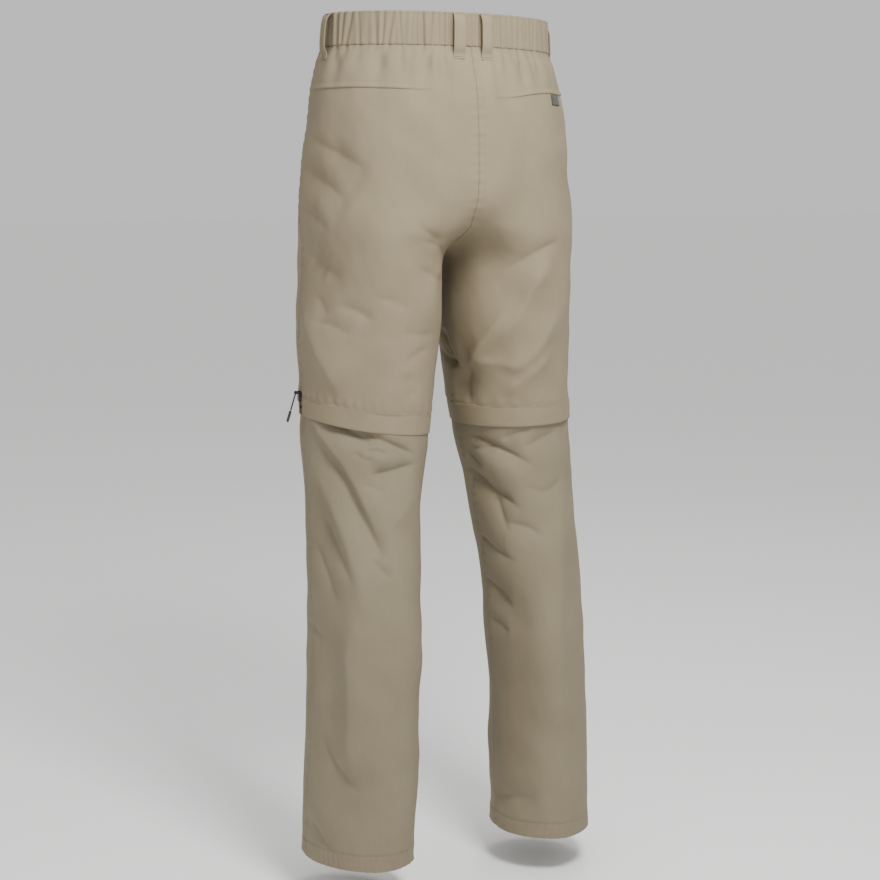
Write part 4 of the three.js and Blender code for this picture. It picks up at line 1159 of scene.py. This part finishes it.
# %% Woven tab and fly placket
ON_PANEL = 0.35               # where the face of a sewn-on piece starts from
UNDER_FACE = 0.3              # and how far its hidden side stays off the cloth
TAB = {"from_turn": 51, "to_turn": 62, "top": -72.5, "bottom": -85, "wall": 1.0}
tab_z, tab_turn = np.meshgrid(
    np.linspace(TAB["top"], TAB["bottom"], 14),
    np.linspace(TAB["from_turn"], TAB["to_turn"], 12),
    indexing="ij",
)
tab_rim = np.minimum(TAB["top"] - tab_z, tab_z - TAB["bottom"])
tab_face = ON_PANEL + TAB["wall"] * rounded(tab_rim, 0.9, 0.3)
tab_u = turn_to_u(tab_z, tab_turn)
patch("woven_tab", RIGHT, tab_z, tab_u, tab_face, tab_face - UNDER_FACE, TAB_CLOTH, "tab_fabric")

PLACKET = {
    "edge": 0.5, "width": 35, "bottom_width": 12, "wall": 1.2,
    "top": -21, "curve": -115, "bottom": -165,
}


def placket_width(z):
    bend = smooth(PLACKET["curve"], PLACKET["bottom"], z)
    return PLACKET["bottom_width"] + (PLACKET["width"] - PLACKET["bottom_width"]) * np.sqrt(1 - bend**2)


def placket_u(z, share):
    at_middle = np.full(z.shape, -1.0)
    step = body_point(LEFT, z, at_middle) - body_point(LEFT, z, at_middle + STEP_U)
    speed = np.linalg.norm(step, axis=-1) / STEP_U
    return -1 + (PLACKET["edge"] + placket_width(z) * share) / speed


placket_shares = np.array([0, 0.01, 0.03, 0.08, *np.linspace(0.15, 0.85, 9), 0.92, 0.97, 0.99, 1])
placket_z, placket_share = np.meshgrid(
    np.linspace(PLACKET["top"], PLACKET["bottom"], 96), placket_shares, indexing="ij")
placket_rim = np.minimum(placket_share, 1 - placket_share) * 30
placket_face = ON_PANEL + PLACKET["wall"] * rounded(placket_rim, 0.8, 0.1)
patch("fly_placket", LEFT, placket_z, placket_u(placket_z, placket_share),
      placket_face, placket_face - UNDER_FACE, SHELL_CLOTH, "shell_fabric")

# %% Knee flaps and zip tapes
FLAP_BOTTOM = KNEE_LEVEL - 12
FLAP_GAP_TURN = 5.5           # half the flap's opening at the side seam
FLAP_WALL = 1.0
FLAP_SEWN = -0.5              # its sewn edge lies in the groove of the seam, its face is flush
FLAP_FLARE = 1.1              # and stands out towards its free edge
FLAP_INSET = 0.6              # but follows the narrower lower leg a little
FLAP_RIPPLES = ((0.4, 61, 0), (0.3, 37, 1))
RIPPLES_BELOW = 0.35          # share of the ripples that is left at the free edge
FLAP_SHARES = np.linspace(0, 1, 250)
TAPE_SHARES = np.linspace(0, 1, 160)
TAPE_GAP_TURN = 0.2
TAPE_IN = 0.9                 # the tape lies this far inside the body's surface
TAPE_WALL = 0.7


def round_leg(z, share, gap_turn):
    """Once round the leg, from one side of the side seam back to its other side."""
    back = turn_to_u(z, SIDE_TURN - gap_turn + 0 * z)
    front = turn_to_u(z, SIDE_TURN + gap_turn + 0 * z)
    u = back + (2 - back + front) * share
    return np.where(u <= 1, u, u - 2)


def flap_face(z, share):
    """How far the flap's face stands off, with small ripples where its seam is drawn in."""
    below_seam = smooth(FLAP_TOP, FLAP_TOP - 4.5, z)
    flare = FLAP_FLARE * smooth(FLAP_TOP, FLAP_BOTTOM, z)
    inset = -FLAP_INSET * smooth(KNEE_LEVEL + 8, KNEE_LEVEL - 10, z)
    ripple = sum(height * np.sin(share * count + start) for height, count, start in FLAP_RIPPLES)
    ripple = ripple * (RIPPLES_BELOW + (1 - RIPPLES_BELOW) * smooth(KNEE_LEVEL, FLAP_TOP, z))
    return FLAP_SEWN * (1 - below_seam) + flare + inset + ripple * below_seam


def knee_ring(name, leg, heights, shares, gap_turn, faces, material, slot):
    """A strip round the leg. faces gives how far its outer and inner side stand off."""
    z, share = np.meshgrid(heights, shares, indexing="ij")
    u = round_leg(z, share, gap_turn)
    place = body_point(leg, z, u)
    normal, _ = body_slope(leg, z, u)
    outer, inner = (place + normal * out[..., None] for out in faces(z, share))
    sew(name, outer, inner, material, slot)


def flap_faces(z, share):
    half = FLAP_WALL / 2 * rounded(np.minimum(FLAP_TOP - z, z - FLAP_BOTTOM), 0.7, 0.06)
    middle = flap_face(z, share) - FLAP_WALL / 2
    return middle + half, middle - half


def tape_faces(z, share):
    face = -TAPE_IN - LOWER_INSET * smooth(KNEE_LEVEL + ZIP_HALF, KNEE_LEVEL - ZIP_HALF, z)
    return face, face - TAPE_WALL


FLAP_HEIGHTS = np.concatenate([
    [FLAP_TOP, FLAP_TOP - 0.3, FLAP_TOP - 0.9],
    np.linspace(FLAP_TOP - 2, FLAP_BOTTOM + 1.2, 15),
    FLAP_BOTTOM + np.array([0.7, 0.35, 0.1, 0]),
])
TAPE_HALF = ZIP_HALF + 1.2
TAPE_HEIGHTS = np.linspace(KNEE_LEVEL + TAPE_HALF, KNEE_LEVEL - TAPE_HALF, 9)
for side_name, leg in SIDES:
    knee_ring(f"storm_flap_{side_name}", leg, FLAP_HEIGHTS, FLAP_SHARES, FLAP_GAP_TURN,
              flap_faces, SHELL_CLOTH, "shell_fabric")
    knee_ring(f"zip_tape_{side_name}", leg, TAPE_HEIGHTS, TAPE_SHARES, TAPE_GAP_TURN,
              tape_faces, TAPE_CLOTH, "zip_tape")
print(len(pieces), "cloth pieces")

# %% [markdown]
# ## Stitches, bar tacks and zip teeth
#
# Thousands of equal small things follow the seams. Geometry Nodes lay them: a line of points becomes
# a curve, the curve is measured out at one pitch, and a small bead is set at each step, turned along
# the curve and out of the cloth. The same tree makes stitches, the close zigzag of a bar tack and the
# coil of a zip, because only the pitch and the bead's three sizes differ.

# %% A tree that sets beads along lines
SOCKETS = (
    # name, kind, size in millimetres
    ("Pitch", "NodeSocketFloat", 2.8),
    ("Along", "NodeSocketFloat", 2.1),
    ("Across", "NodeSocketFloat", 0.5),
    ("High", "NodeSocketFloat", 0.45),
    ("Thread", "NodeSocketMaterial", None),
)


def bead_tree():
    tree = bpy.data.node_groups.new("beads_along_lines", "GeometryNodeTree")
    tree.interface.new_socket("Lines", in_out="INPUT", socket_type="NodeSocketGeometry")
    tree.interface.new_socket("Beads", in_out="OUTPUT", socket_type="NodeSocketGeometry")
    for name, kind, value in SOCKETS:
        socket = tree.interface.new_socket(name, in_out="INPUT", socket_type=kind)
        if value is not None:
            socket.default_value = value * MM
    given = add(tree, "NodeGroupInput").outputs
    curve = add(tree, "GeometryNodeMeshToCurve", Mesh=given["Lines"])
    stepped = add(tree, "GeometryNodeResampleCurve", {"mode": "LENGTH"},
                  Curve=curve.outputs["Curve"], Length=given["Pitch"])
    tangent = add(tree, "GeometryNodeInputTangent")
    out = add(tree, "GeometryNodeInputNamedAttribute", {"data_type": "FLOAT_VECTOR"}, Name="out")
    turned = add(tree, "FunctionNodeAxesToRotation", {"primary_axis": "X", "secondary_axis": "Z"},
                 Primary_Axis=tangent.outputs[0], Secondary_Axis=out.outputs["Attribute"])
    bead = add(tree, "GeometryNodeMeshUVSphere", Segments=4, Rings=3, Radius=0.5)
    soft = add(tree, "GeometryNodeSetShadeSmooth", Geometry=bead.outputs["Mesh"])
    sizes = add(tree, "ShaderNodeCombineXYZ", X=given["Along"], Y=given["Across"], Z=given["High"])
    set_out = add(tree, "GeometryNodeInstanceOnPoints", Points=stepped.outputs[0],
                  Instance=soft.outputs[0], Rotation=turned.outputs[0], Scale=sizes.outputs[0])
    real = add(tree, "GeometryNodeRealizeInstances", Geometry=set_out.outputs[0])
    coloured = add(tree, "GeometryNodeSetMaterial", Geometry=real.outputs[0], Material=given["Thread"])
    add(tree, "NodeGroupOutput", Beads=coloured.outputs[0])
    return tree


BEADS = bead_tree()


def lay_beads(name, lines, material, slot, **sizes):
    """One plain mesh piece of beads. lines is a list of (points, outward directions)."""
    points = np.concatenate([line for line, _ in lines]) * MM
    outs = np.concatenate([out for _, out in lines])
    edges, start = [], 0
    for line, _ in lines:
        edges += [(start + i, start + i + 1) for i in range(len(line) - 1)]
        start += len(line)
    mesh = bpy.data.meshes.new(f"{name}_lines")
    mesh.from_pydata(points.tolist(), edges, [])
    mesh.attributes.new("out", "FLOAT_VECTOR", "POINT").data.foreach_set("vector", outs.ravel())
    guide = bpy.data.objects.new(f"{name}_guide", mesh)
    bpy.context.scene.collection.objects.link(guide)
    modifier = guide.modifiers.new("beads", "NODES")
    modifier.node_group = BEADS
    values = {"Thread": material, **{key.capitalize(): value * MM for key, value in sizes.items()}}
    for item in BEADS.interface.items_tree:
        if item.in_out == "INPUT" and item.name in values:
            modifier[item.identifier] = values[item.name]
    evaluated = guide.evaluated_get(bpy.context.evaluated_depsgraph_get())
    laid = bpy.data.meshes.new_from_object(evaluated)
    guide.modifiers.clear()
    bpy.data.objects.remove(guide)
    piece = bpy.data.objects.new(name, laid)
    bpy.context.scene.collection.objects.link(piece)
    dress(piece, slot)
    print(name, len(laid.polygons), "faces")


# %% [markdown]
# The thread is spun polyester in nearly the colour of the cloth, so that the rows read as fine
# dotted lines and not as stripes.

# %% Where the rows of stitches run
THREAD, _, _ = new_material("spun_polyester_thread", "#7d715d", 0.7, sheen=0.2)
ROW_NEAR = 1.6                # from the seam to the first row
ROW_FAR = 7.6                 # and to the second
ON_CLOTH = 0.12


def row_beside(leg, heights, seam, distance, towards):
    """A row that keeps its distance from a seam, on its upper layer."""
    u = seam(heights)
    _, speed = body_slope(leg, heights, u)
    return cloth(leg, heights, u + towards * distance / speed, out=ON_CLOTH)


def row_round(leg, height, out=ON_CLOTH, steps=260):
    share = np.linspace(0, 1, steps)
    z = np.full(steps, float(height))
    start = side_u(z[:1])[0]
    u = start + 2 * share
    return cloth(leg, z, np.where(u > 1, u - 2, u), out=out)


ROWS_TOP = -21.5
ROWS_KNEE = -455
upper_heights = np.arange(ROWS_TOP, ROWS_KNEE, -2.5)
lower_heights = np.arange(-477, HEM_Z + 1.5, -2.5)
thigh_heights = np.arange(CROTCH_Z - 14, ROWS_KNEE, -2.5)
seat_heights = np.arange(ROWS_TOP, CROTCH_Z + 12, -2.0)
rise_heights = np.arange(PLACKET["bottom"], CROTCH_Z + 12, -2.0)
one = np.ones_like
seam_rows, leg_rows = [], []
for _, leg in SIDES:
    for distance in (ROW_NEAR, ROW_FAR):
        seam_rows.append(row_beside(leg, upper_heights, side_u, distance, 1))
        leg_rows.append(row_beside(leg, lower_heights, side_u, distance, 1))
    seam_rows.append(row_beside(leg, thigh_heights, one, ROW_NEAR, -1))
    leg_rows.append(row_beside(leg, lower_heights, one, ROW_NEAR, -1))
    leg_rows.append(row_round(leg, HEM_STITCH, out=0.3))
for distance in (ROW_NEAR, ROW_FAR):
    seam_rows.append(row_beside(RIGHT, seat_heights, lambda z: seat_u(RIGHT, z), distance, -1))
seam_rows.append(row_beside(LEFT, rise_heights, lambda z: -one(z), ROW_NEAR, 1))

# The placket's two rows, which turn in at the bottom
PLACKET_TOP_LAYER = PLACKET["wall"] + 0.4
for inside in (1.4, 7.0):
    z = np.linspace(PLACKET["top"] - 1, PLACKET["bottom"] + 1, 90)
    u = placket_u(z, 1 - inside / placket_width(z))
    seam_rows.append(cloth(LEFT, z, u, out=PLACKET_TOP_LAYER))

# A row along each welt's lower edge
WELT_ROW = 5.0
for _, leg, *welt in WELTS:
    z, u = welt_place(*welt, WELT_ROW)
    seam_rows.append(cloth(leg, z, u, out=welt_face(WELT_ROW, welt_share) + ON_CLOTH))

lay_beads("stitches_shorts", seam_rows, THREAD, "shell_fabric")
lay_beads("stitches_lower_legs", leg_rows, THREAD, "lower_leg_fabric")

# %% Rows on the waistband and along the belt loops
BAND_SPANS = (
    (SIDE_TURN - 0.5, -SIDE_TURN + 0.5),
    (180 + OVERLAP_TURN - 0.6, SIDE_TURN + 0.5),
    (-SIDE_TURN - 0.5, -179),
)
band_rows = []
for start, end in BAND_SPANS:
    around = np.linspace(start, end, 420)
    for height in (BAND_BOTTOM + 1.8, BAND_TOP - 2.6):
        z = np.full(around.shape, height)
        band_rows.append(band_place(around, z, band_out(around, z) + ON_CLOTH))
for around, path in loop_frames.values():
    for edge in (-0.34, 0.34):
        at = np.array([edge * LOOP_WIDTH])
        line, flat = loop_strip(around, at, path[1:-1], LOOP_WALL + ON_CLOTH - 0.1)
        band_rows.append((line[:, 0], flat))
lay_beads("stitches_waistband", band_rows, THREAD, "waistband_fabric")

# %% Bar tacks
# A bar tack is a close zigzag that takes the pull at the end of an opening or a loop.
tack_across = np.linspace(-0.44, 0.44, 8) * LOOP_WIDTH
tacks = []
for around, path in loop_frames.values():
    for at in (3, len(path) - 4):
        line, flat = loop_strip(around, tack_across, path[at:at + 1], LOOP_WALL + 0.05)
        tacks.append((line[0], np.repeat(flat, len(tack_across), axis=0)))
tack_z = np.linspace(-140, -150, 6)
tacks.append(cloth(LEFT, tack_z, placket_u(tack_z, 0.5 * one(tack_z)), out=PLACKET["wall"] + 0.5))
lay_beads("bar_tacks", tacks, THREAD, "shell_fabric", pitch=0.62, along=0.55, across=1.9, high=0.6)

# %% Rows on the flaps, and the coil of each zip
COIL_IN = 1.8
COIL_GAP_TURN = 1.2
ring_share = np.linspace(0.004, 0.996, 260)


def knee_line(leg, height, gap_turn, out):
    """Points and outward directions of a line round the knee, from one side of the gap to the other."""
    z = np.full(ring_share.shape, height)
    u = round_leg(z, ring_share, gap_turn)
    normal, _ = body_slope(leg, z, u)
    return body_point(leg, z, u) + normal * np.broadcast_to(out, z.shape)[:, None], normal


for side_name, leg in SIDES:
    flap_rows = [
        knee_line(leg, height, FLAP_GAP_TURN, flap_face(height, ring_share) + ON_CLOTH)
        for height in (FLAP_TOP - 3.4, FLAP_BOTTOM + 1.6)
    ]
    lay_beads(f"stitches_flap_{side_name}", flap_rows, THREAD, "shell_fabric")
    coil = [knee_line(leg, KNEE_LEVEL, COIL_GAP_TURN, -COIL_IN)]
    lay_beads(f"zip_coil_{side_name}", coil, TAPE_CLOTH, "zip_tape",
              pitch=1.3, along=1.15, across=4.6, high=1.3)

# %% [markdown]
# ## Button and hardware
#
# The waist button is a moulded four-hole button: a raised rim, a dished middle and thread through
# the holes. It is turned as a profile, so the result is one closed mesh. The thread lies over the
# holes and fills them, so they aren't cut. The sliders and pulls keep the CAD model's own meshes,
# because a cast part's shape is right there, and only get their finish here.

# %% The button
BUTTON_PROFILE = [
    # radius, height: from the back's middle, round the rim, to the front's middle
    (0, 0), (5.4, 0), (6.9, 0.25), (7.5, 0.9), (7.5, 1.6), (7.1, 2.3), (6.3, 2.6), (5.3, 2.45),
    (4.6, 1.9), (3.6, 1.7), (0, 1.7),
]
BUTTON_SIDES = 48
BUTTON_TURN = 184
BUTTON_HEIGHT = 2.6


def lathe(profile, sides):
    ring = np.linspace(0, 2 * np.pi, sides, endpoint=False)
    points, faces = [(0, 0, profile[0][1])], []
    for radius, height in profile[1:-1]:
        points += [(radius * math.cos(a), radius * math.sin(a), height) for a in ring]
    points.append((0, 0, profile[-1][1]))
    last = len(points) - 1
    for side in range(sides):
        after = (side + 1) % sides
        faces.append((0, 1 + after, 1 + side))
        for level in range(len(profile) - 3):
            low, high = 1 + level * sides, 1 + (level + 1) * sides
            faces.append((low + side, low + after, high + after, high + side))
        top = 1 + (len(profile) - 3) * sides
        faces.append((top + side, top + after, last))
    return np.array(points, float), faces


button_box = [np.array(corner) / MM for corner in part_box("waist_button")]
button_middle = (button_box[0] + button_box[1]) / 2
button_z = np.array([float(BAND_MIDDLE)])
button_out, _ = body_slope(LEFT, button_z, turn_to_u(button_z, np.array([BUTTON_TURN])))
button_out = button_out[0] / np.linalg.norm(button_out[0])
button_side = np.cross(button_out, [0, 0, 1])
button_side /= np.linalg.norm(button_side)
button_up = np.cross(button_side, button_out)


def on_button(points):
    local = np.asarray(points, float)
    return (button_middle + local[:, :1] * button_side + local[:, 1:2] * button_up
            + (local[:, 2:3] - BUTTON_HEIGHT / 2) * button_out)


# Moulded polyester: a hard, slightly glossy face with a faint horn-like swirl
POLYMER, polymer_tree, polymer_shader = new_material(
    "moulded_polyester_button", "#6f6350", 0.38, ior=1.54)
swirl = add(polymer_tree, "ShaderNodeTexNoise", Scale=260.0, Detail=2.0, Distortion=1.5,
            Vector=add(polymer_tree, "ShaderNodeTexCoord").outputs["Object"])
swirl_mix = add(polymer_tree, "ShaderNodeMix", {"data_type": "RGBA"}, in0=swirl.outputs[0],
                in6=linear("#5c5242"), in7=linear("#80745f"))
polymer_tree.links.new(swirl_mix.outputs[2], polymer_shader.inputs["Base Color"])

disc_points, disc_faces = lathe(BUTTON_PROFILE, BUTTON_SIDES)
button = new_object("waist_button_turned", on_button(disc_points), disc_faces)
button.data.materials.append(POLYMER)
dress(button, "button", "waist_button")
pieces["waist_button"] = button

HOLE_OFF = 1.5                # from the button's middle to each hole
THREAD_APART = 0.22
THREAD_LOW = 1.75
THREAD_BOW = 0.45
thread_steps = np.linspace(-HOLE_OFF, HOLE_OFF, 10)
thread_lines = []
for angle in (45, -45):
    cos, sin = math.cos(math.radians(angle)), math.sin(math.radians(angle))
    for shift in (-THREAD_APART, THREAD_APART):
        bow = THREAD_LOW + THREAD_BOW * np.cos(thread_steps / HOLE_OFF * np.pi / 2)
        local = np.stack([thread_steps * cos - sin * shift, thread_steps * sin + cos * shift, bow], -1)
        thread_lines.append((on_button(local), np.tile(button_out, (len(thread_steps), 1))))
lay_beads("button_thread", thread_lines, THREAD, "shell_fabric",
          pitch=0.32, along=0.5, across=0.42, high=0.42)

# %% Metal and moulded grip
# Die-cast zinc with a dark nickel plate: dull metal, its gloss uneven where it has been handled
METAL, metal_tree, metal_shader = new_material(
    "die_cast_zinc_dark_nickel", "#4b4a47", 0.36, metallic=1.0)
metal_place = add(metal_tree, "ShaderNodeTexCoord").outputs["Object"]
grain = add(metal_tree, "ShaderNodeTexNoise", Vector=metal_place, Scale=900.0, Detail=3.0)
worn = add(metal_tree, "ShaderNodeMapRange", Value=grain.outputs[0], To_Min=0.28, To_Max=0.46)
metal_tree.links.new(worn.outputs[0], metal_shader.inputs["Roughness"])
metal_bump = add(metal_tree, "ShaderNodeBump", Height=grain.outputs[0], Strength=0.1, Distance=0.0001)
metal_tree.links.new(metal_bump.outputs[0], metal_shader.inputs["Normal"])

# Moulded soft plastic: nearly black, matt, with fine ribs for the fingers
GRIP, grip_tree, grip_shader = new_material("moulded_pull_grip", "#2b2b28", 0.62, ior=1.5)
grip_place = add(grip_tree, "ShaderNodeTexCoord").outputs["Object"]
ribs = add(grip_tree, "ShaderNodeTexWave", {"wave_type": "BANDS", "bands_direction": "Z"},
           Vector=grip_place, Scale=140.0)
grip_bump = add(grip_tree, "ShaderNodeBump", Height=ribs.outputs[0], Strength=0.6, Distance=0.0003)
grip_tree.links.new(grip_bump.outputs[0], grip_shader.inputs["Normal"])
# Painted shade: the same bands darken the colour in the ribs' grooves and lighten it on their crests
grip_rib_shade = add(grip_tree, "ShaderNodeMix", {"data_type": "RGBA"}, in0=ribs.outputs[0],
                in6=linear("#232320"), in7=linear("#34342f"))
grip_tree.links.new(grip_rib_shade.outputs[2], grip_shader.inputs["Base Color"])

for side_name, _ in SIDES:
    for node, material, slot in (
        (f"zip_slider_{side_name}", METAL, "zip_metal"),
        (f"zip_pull_{side_name}", METAL, "zip_metal"),
        (f"pull_grip_{side_name}", GRIP, "pull_grip"),
    ):
        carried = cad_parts[node]
        carried.data.materials.clear()
        carried.data.materials.append(material)

# %% [markdown]
# ## Light and floor
#
# The photograph has soft light from the camera's side, a little from the right and above, and a
# plain white ground. An area lamp does that, with a large weak one on the left and an even sky. A
# third lamp stands on the far side and lights the front. The floor is pale and lies a little below
# the hems, because the wearer holds the trousers up.

# %% Stage
# Matt background paper, with the slightest unevenness
FLOOR_Z = HEM_Z - 48
FLOOR_HALF = 30000
stage_material, stage_tree, stage_shader = new_material("matt_studio_paper", "#fdfdfc", 1.0, ior=1.0)
stage_noise = add(stage_tree, "ShaderNodeTexNoise", Scale=3.0)
stage_bump = add(stage_tree, "ShaderNodeBump", Height=stage_noise.outputs[0], Strength=0.02)
stage_tree.links.new(stage_bump.outputs[0], stage_shader.inputs["Normal"])
floor_corners = [
    (x * FLOOR_HALF, y * FLOOR_HALF, FLOOR_Z) for x, y in ((-1, -1), (1, -1), (1, 1), (-1, 1))
]
floor = new_object("floor", floor_corners, [(0, 1, 2, 3)], smooth_shading=False)
floor.data.materials.append(stage_material)

world = bpy.data.worlds.new("studio")
bpy.context.scene.world = world
world.use_nodes = True
background = next(node for node in world.node_tree.nodes if node.type == "BACKGROUND")
background.inputs["Color"].default_value = (1.0, 1.0, 1.0, 1.0)
background.inputs["Strength"].default_value = 0.72

LAMP_AIM = np.array([0, 0, -300])
LAMPS = [
    # name, towards the camera, to its right, up from the waist, size, watts
    ("key", 1000, 400, 650, 520, 30),
    ("fill", 2200, -1500, 200, 1800, 5),
    ("front", -1500, 500, 1900, 900, 18),
]
for name, near, right, up, size, watts in LAMPS:
    lamp_data = bpy.data.lights.new(name, "AREA")
    lamp_data.shape = "DISK"
    lamp_data.size = size * MM
    lamp_data.energy = watts
    lamp = bpy.data.objects.new(name, lamp_data)
    at = towards * near + rightwards * right + [0, 0, up]
    lamp.location = Vector(at * MM)
    lamp.rotation_euler = Vector((LAMP_AIM - at) * MM).to_track_quat("-Z", "Y").to_euler()
    bpy.context.scene.collection.objects.link(lamp)
print(len(LAMPS), "lamps")

# %% [markdown]
# ## What each cloth piece was cut to
#
# The sizes are those of the pattern: width and length in metres, and the area where the cut isn't
# a rectangle.

# %% Sheets
SHEETS = {
    # Panels: what shows, without seam allowances and without the hem's turn-up
    "back_left": (0.370, 0.470, 0.140, "hung", "waistband_back_cloth"),
    "back_right": (0.370, 0.470, 0.141, "hung", "waistband_back_cloth"),
    "front_left": (0.330, 0.455, 0.109, "hung", "waistband_front_left_cloth"),
    "front_right": (0.330, 0.455, 0.110, "hung", "waistband_front_right_cloth"),
    "lower_back_left": (0.285, 0.560, 0.144, "hung", "zip_tape_left_cloth"),
    "lower_back_right": (0.285, 0.560, 0.143, "hung", "zip_tape_right_cloth"),
    "lower_front_left": (0.255, 0.560, 0.129, "hung", "zip_tape_left_cloth"),
    "lower_front_right": (0.255, 0.560, 0.128, "hung", "zip_tape_right_cloth"),
    # Waistband: the back is longer than the waist and the elastic gathers it
    "waistband_back": (0.560, 0.041, None, "gathered", "back_left_cloth"),
    "waistband_front_left": (0.195, 0.041, None, "folded", "front_left_cloth"),
    "waistband_front_right": (0.169, 0.041, None, "folded", "front_right_cloth"),
    # Pieces sewn flat onto the panels
    "pocket_welt_left": (0.190, 0.010, 0.0014, "folded", "back_left_cloth"),
    "pocket_welt_right": (0.225, 0.010, 0.0016, "folded", "back_right_cloth"),
    "woven_tab": (0.030, 0.013, None, "folded", "back_right_cloth"),
    "fly_placket": (0.036, 0.145, 0.0044, "laid", "front_left_cloth"),
    "storm_flap_left": (0.532, 0.027, None, "hung", "zip_tape_left_cloth"),
    "storm_flap_right": (0.530, 0.027, None, "hung", "zip_tape_right_cloth"),
    "zip_tape_left": (0.535, 0.011, None, "hung", "back_left_cloth"),
    "zip_tape_right": (0.533, 0.011, None, "hung", "back_right_cloth"),
}
BEHIND_LOOP = {
    "back": "waistband_back_cloth",
    "side": "waistband_back_cloth",
    "front_left": "waistband_front_left_cloth",
    "front_right": "waistband_front_right_cloth",
}
for loop_name, _, _ in LOOPS:
    behind = next(band for place, band in BEHIND_LOOP.items() if place in loop_name)
    SHEETS[loop_name] = (0.0145, 0.058, None, "folded", behind)
for name, row in SHEETS.items():
    area, width, length = cut_size(pieces[name])
print("pieces without a cut:", [name for name in pieces if name not in SHEETS])
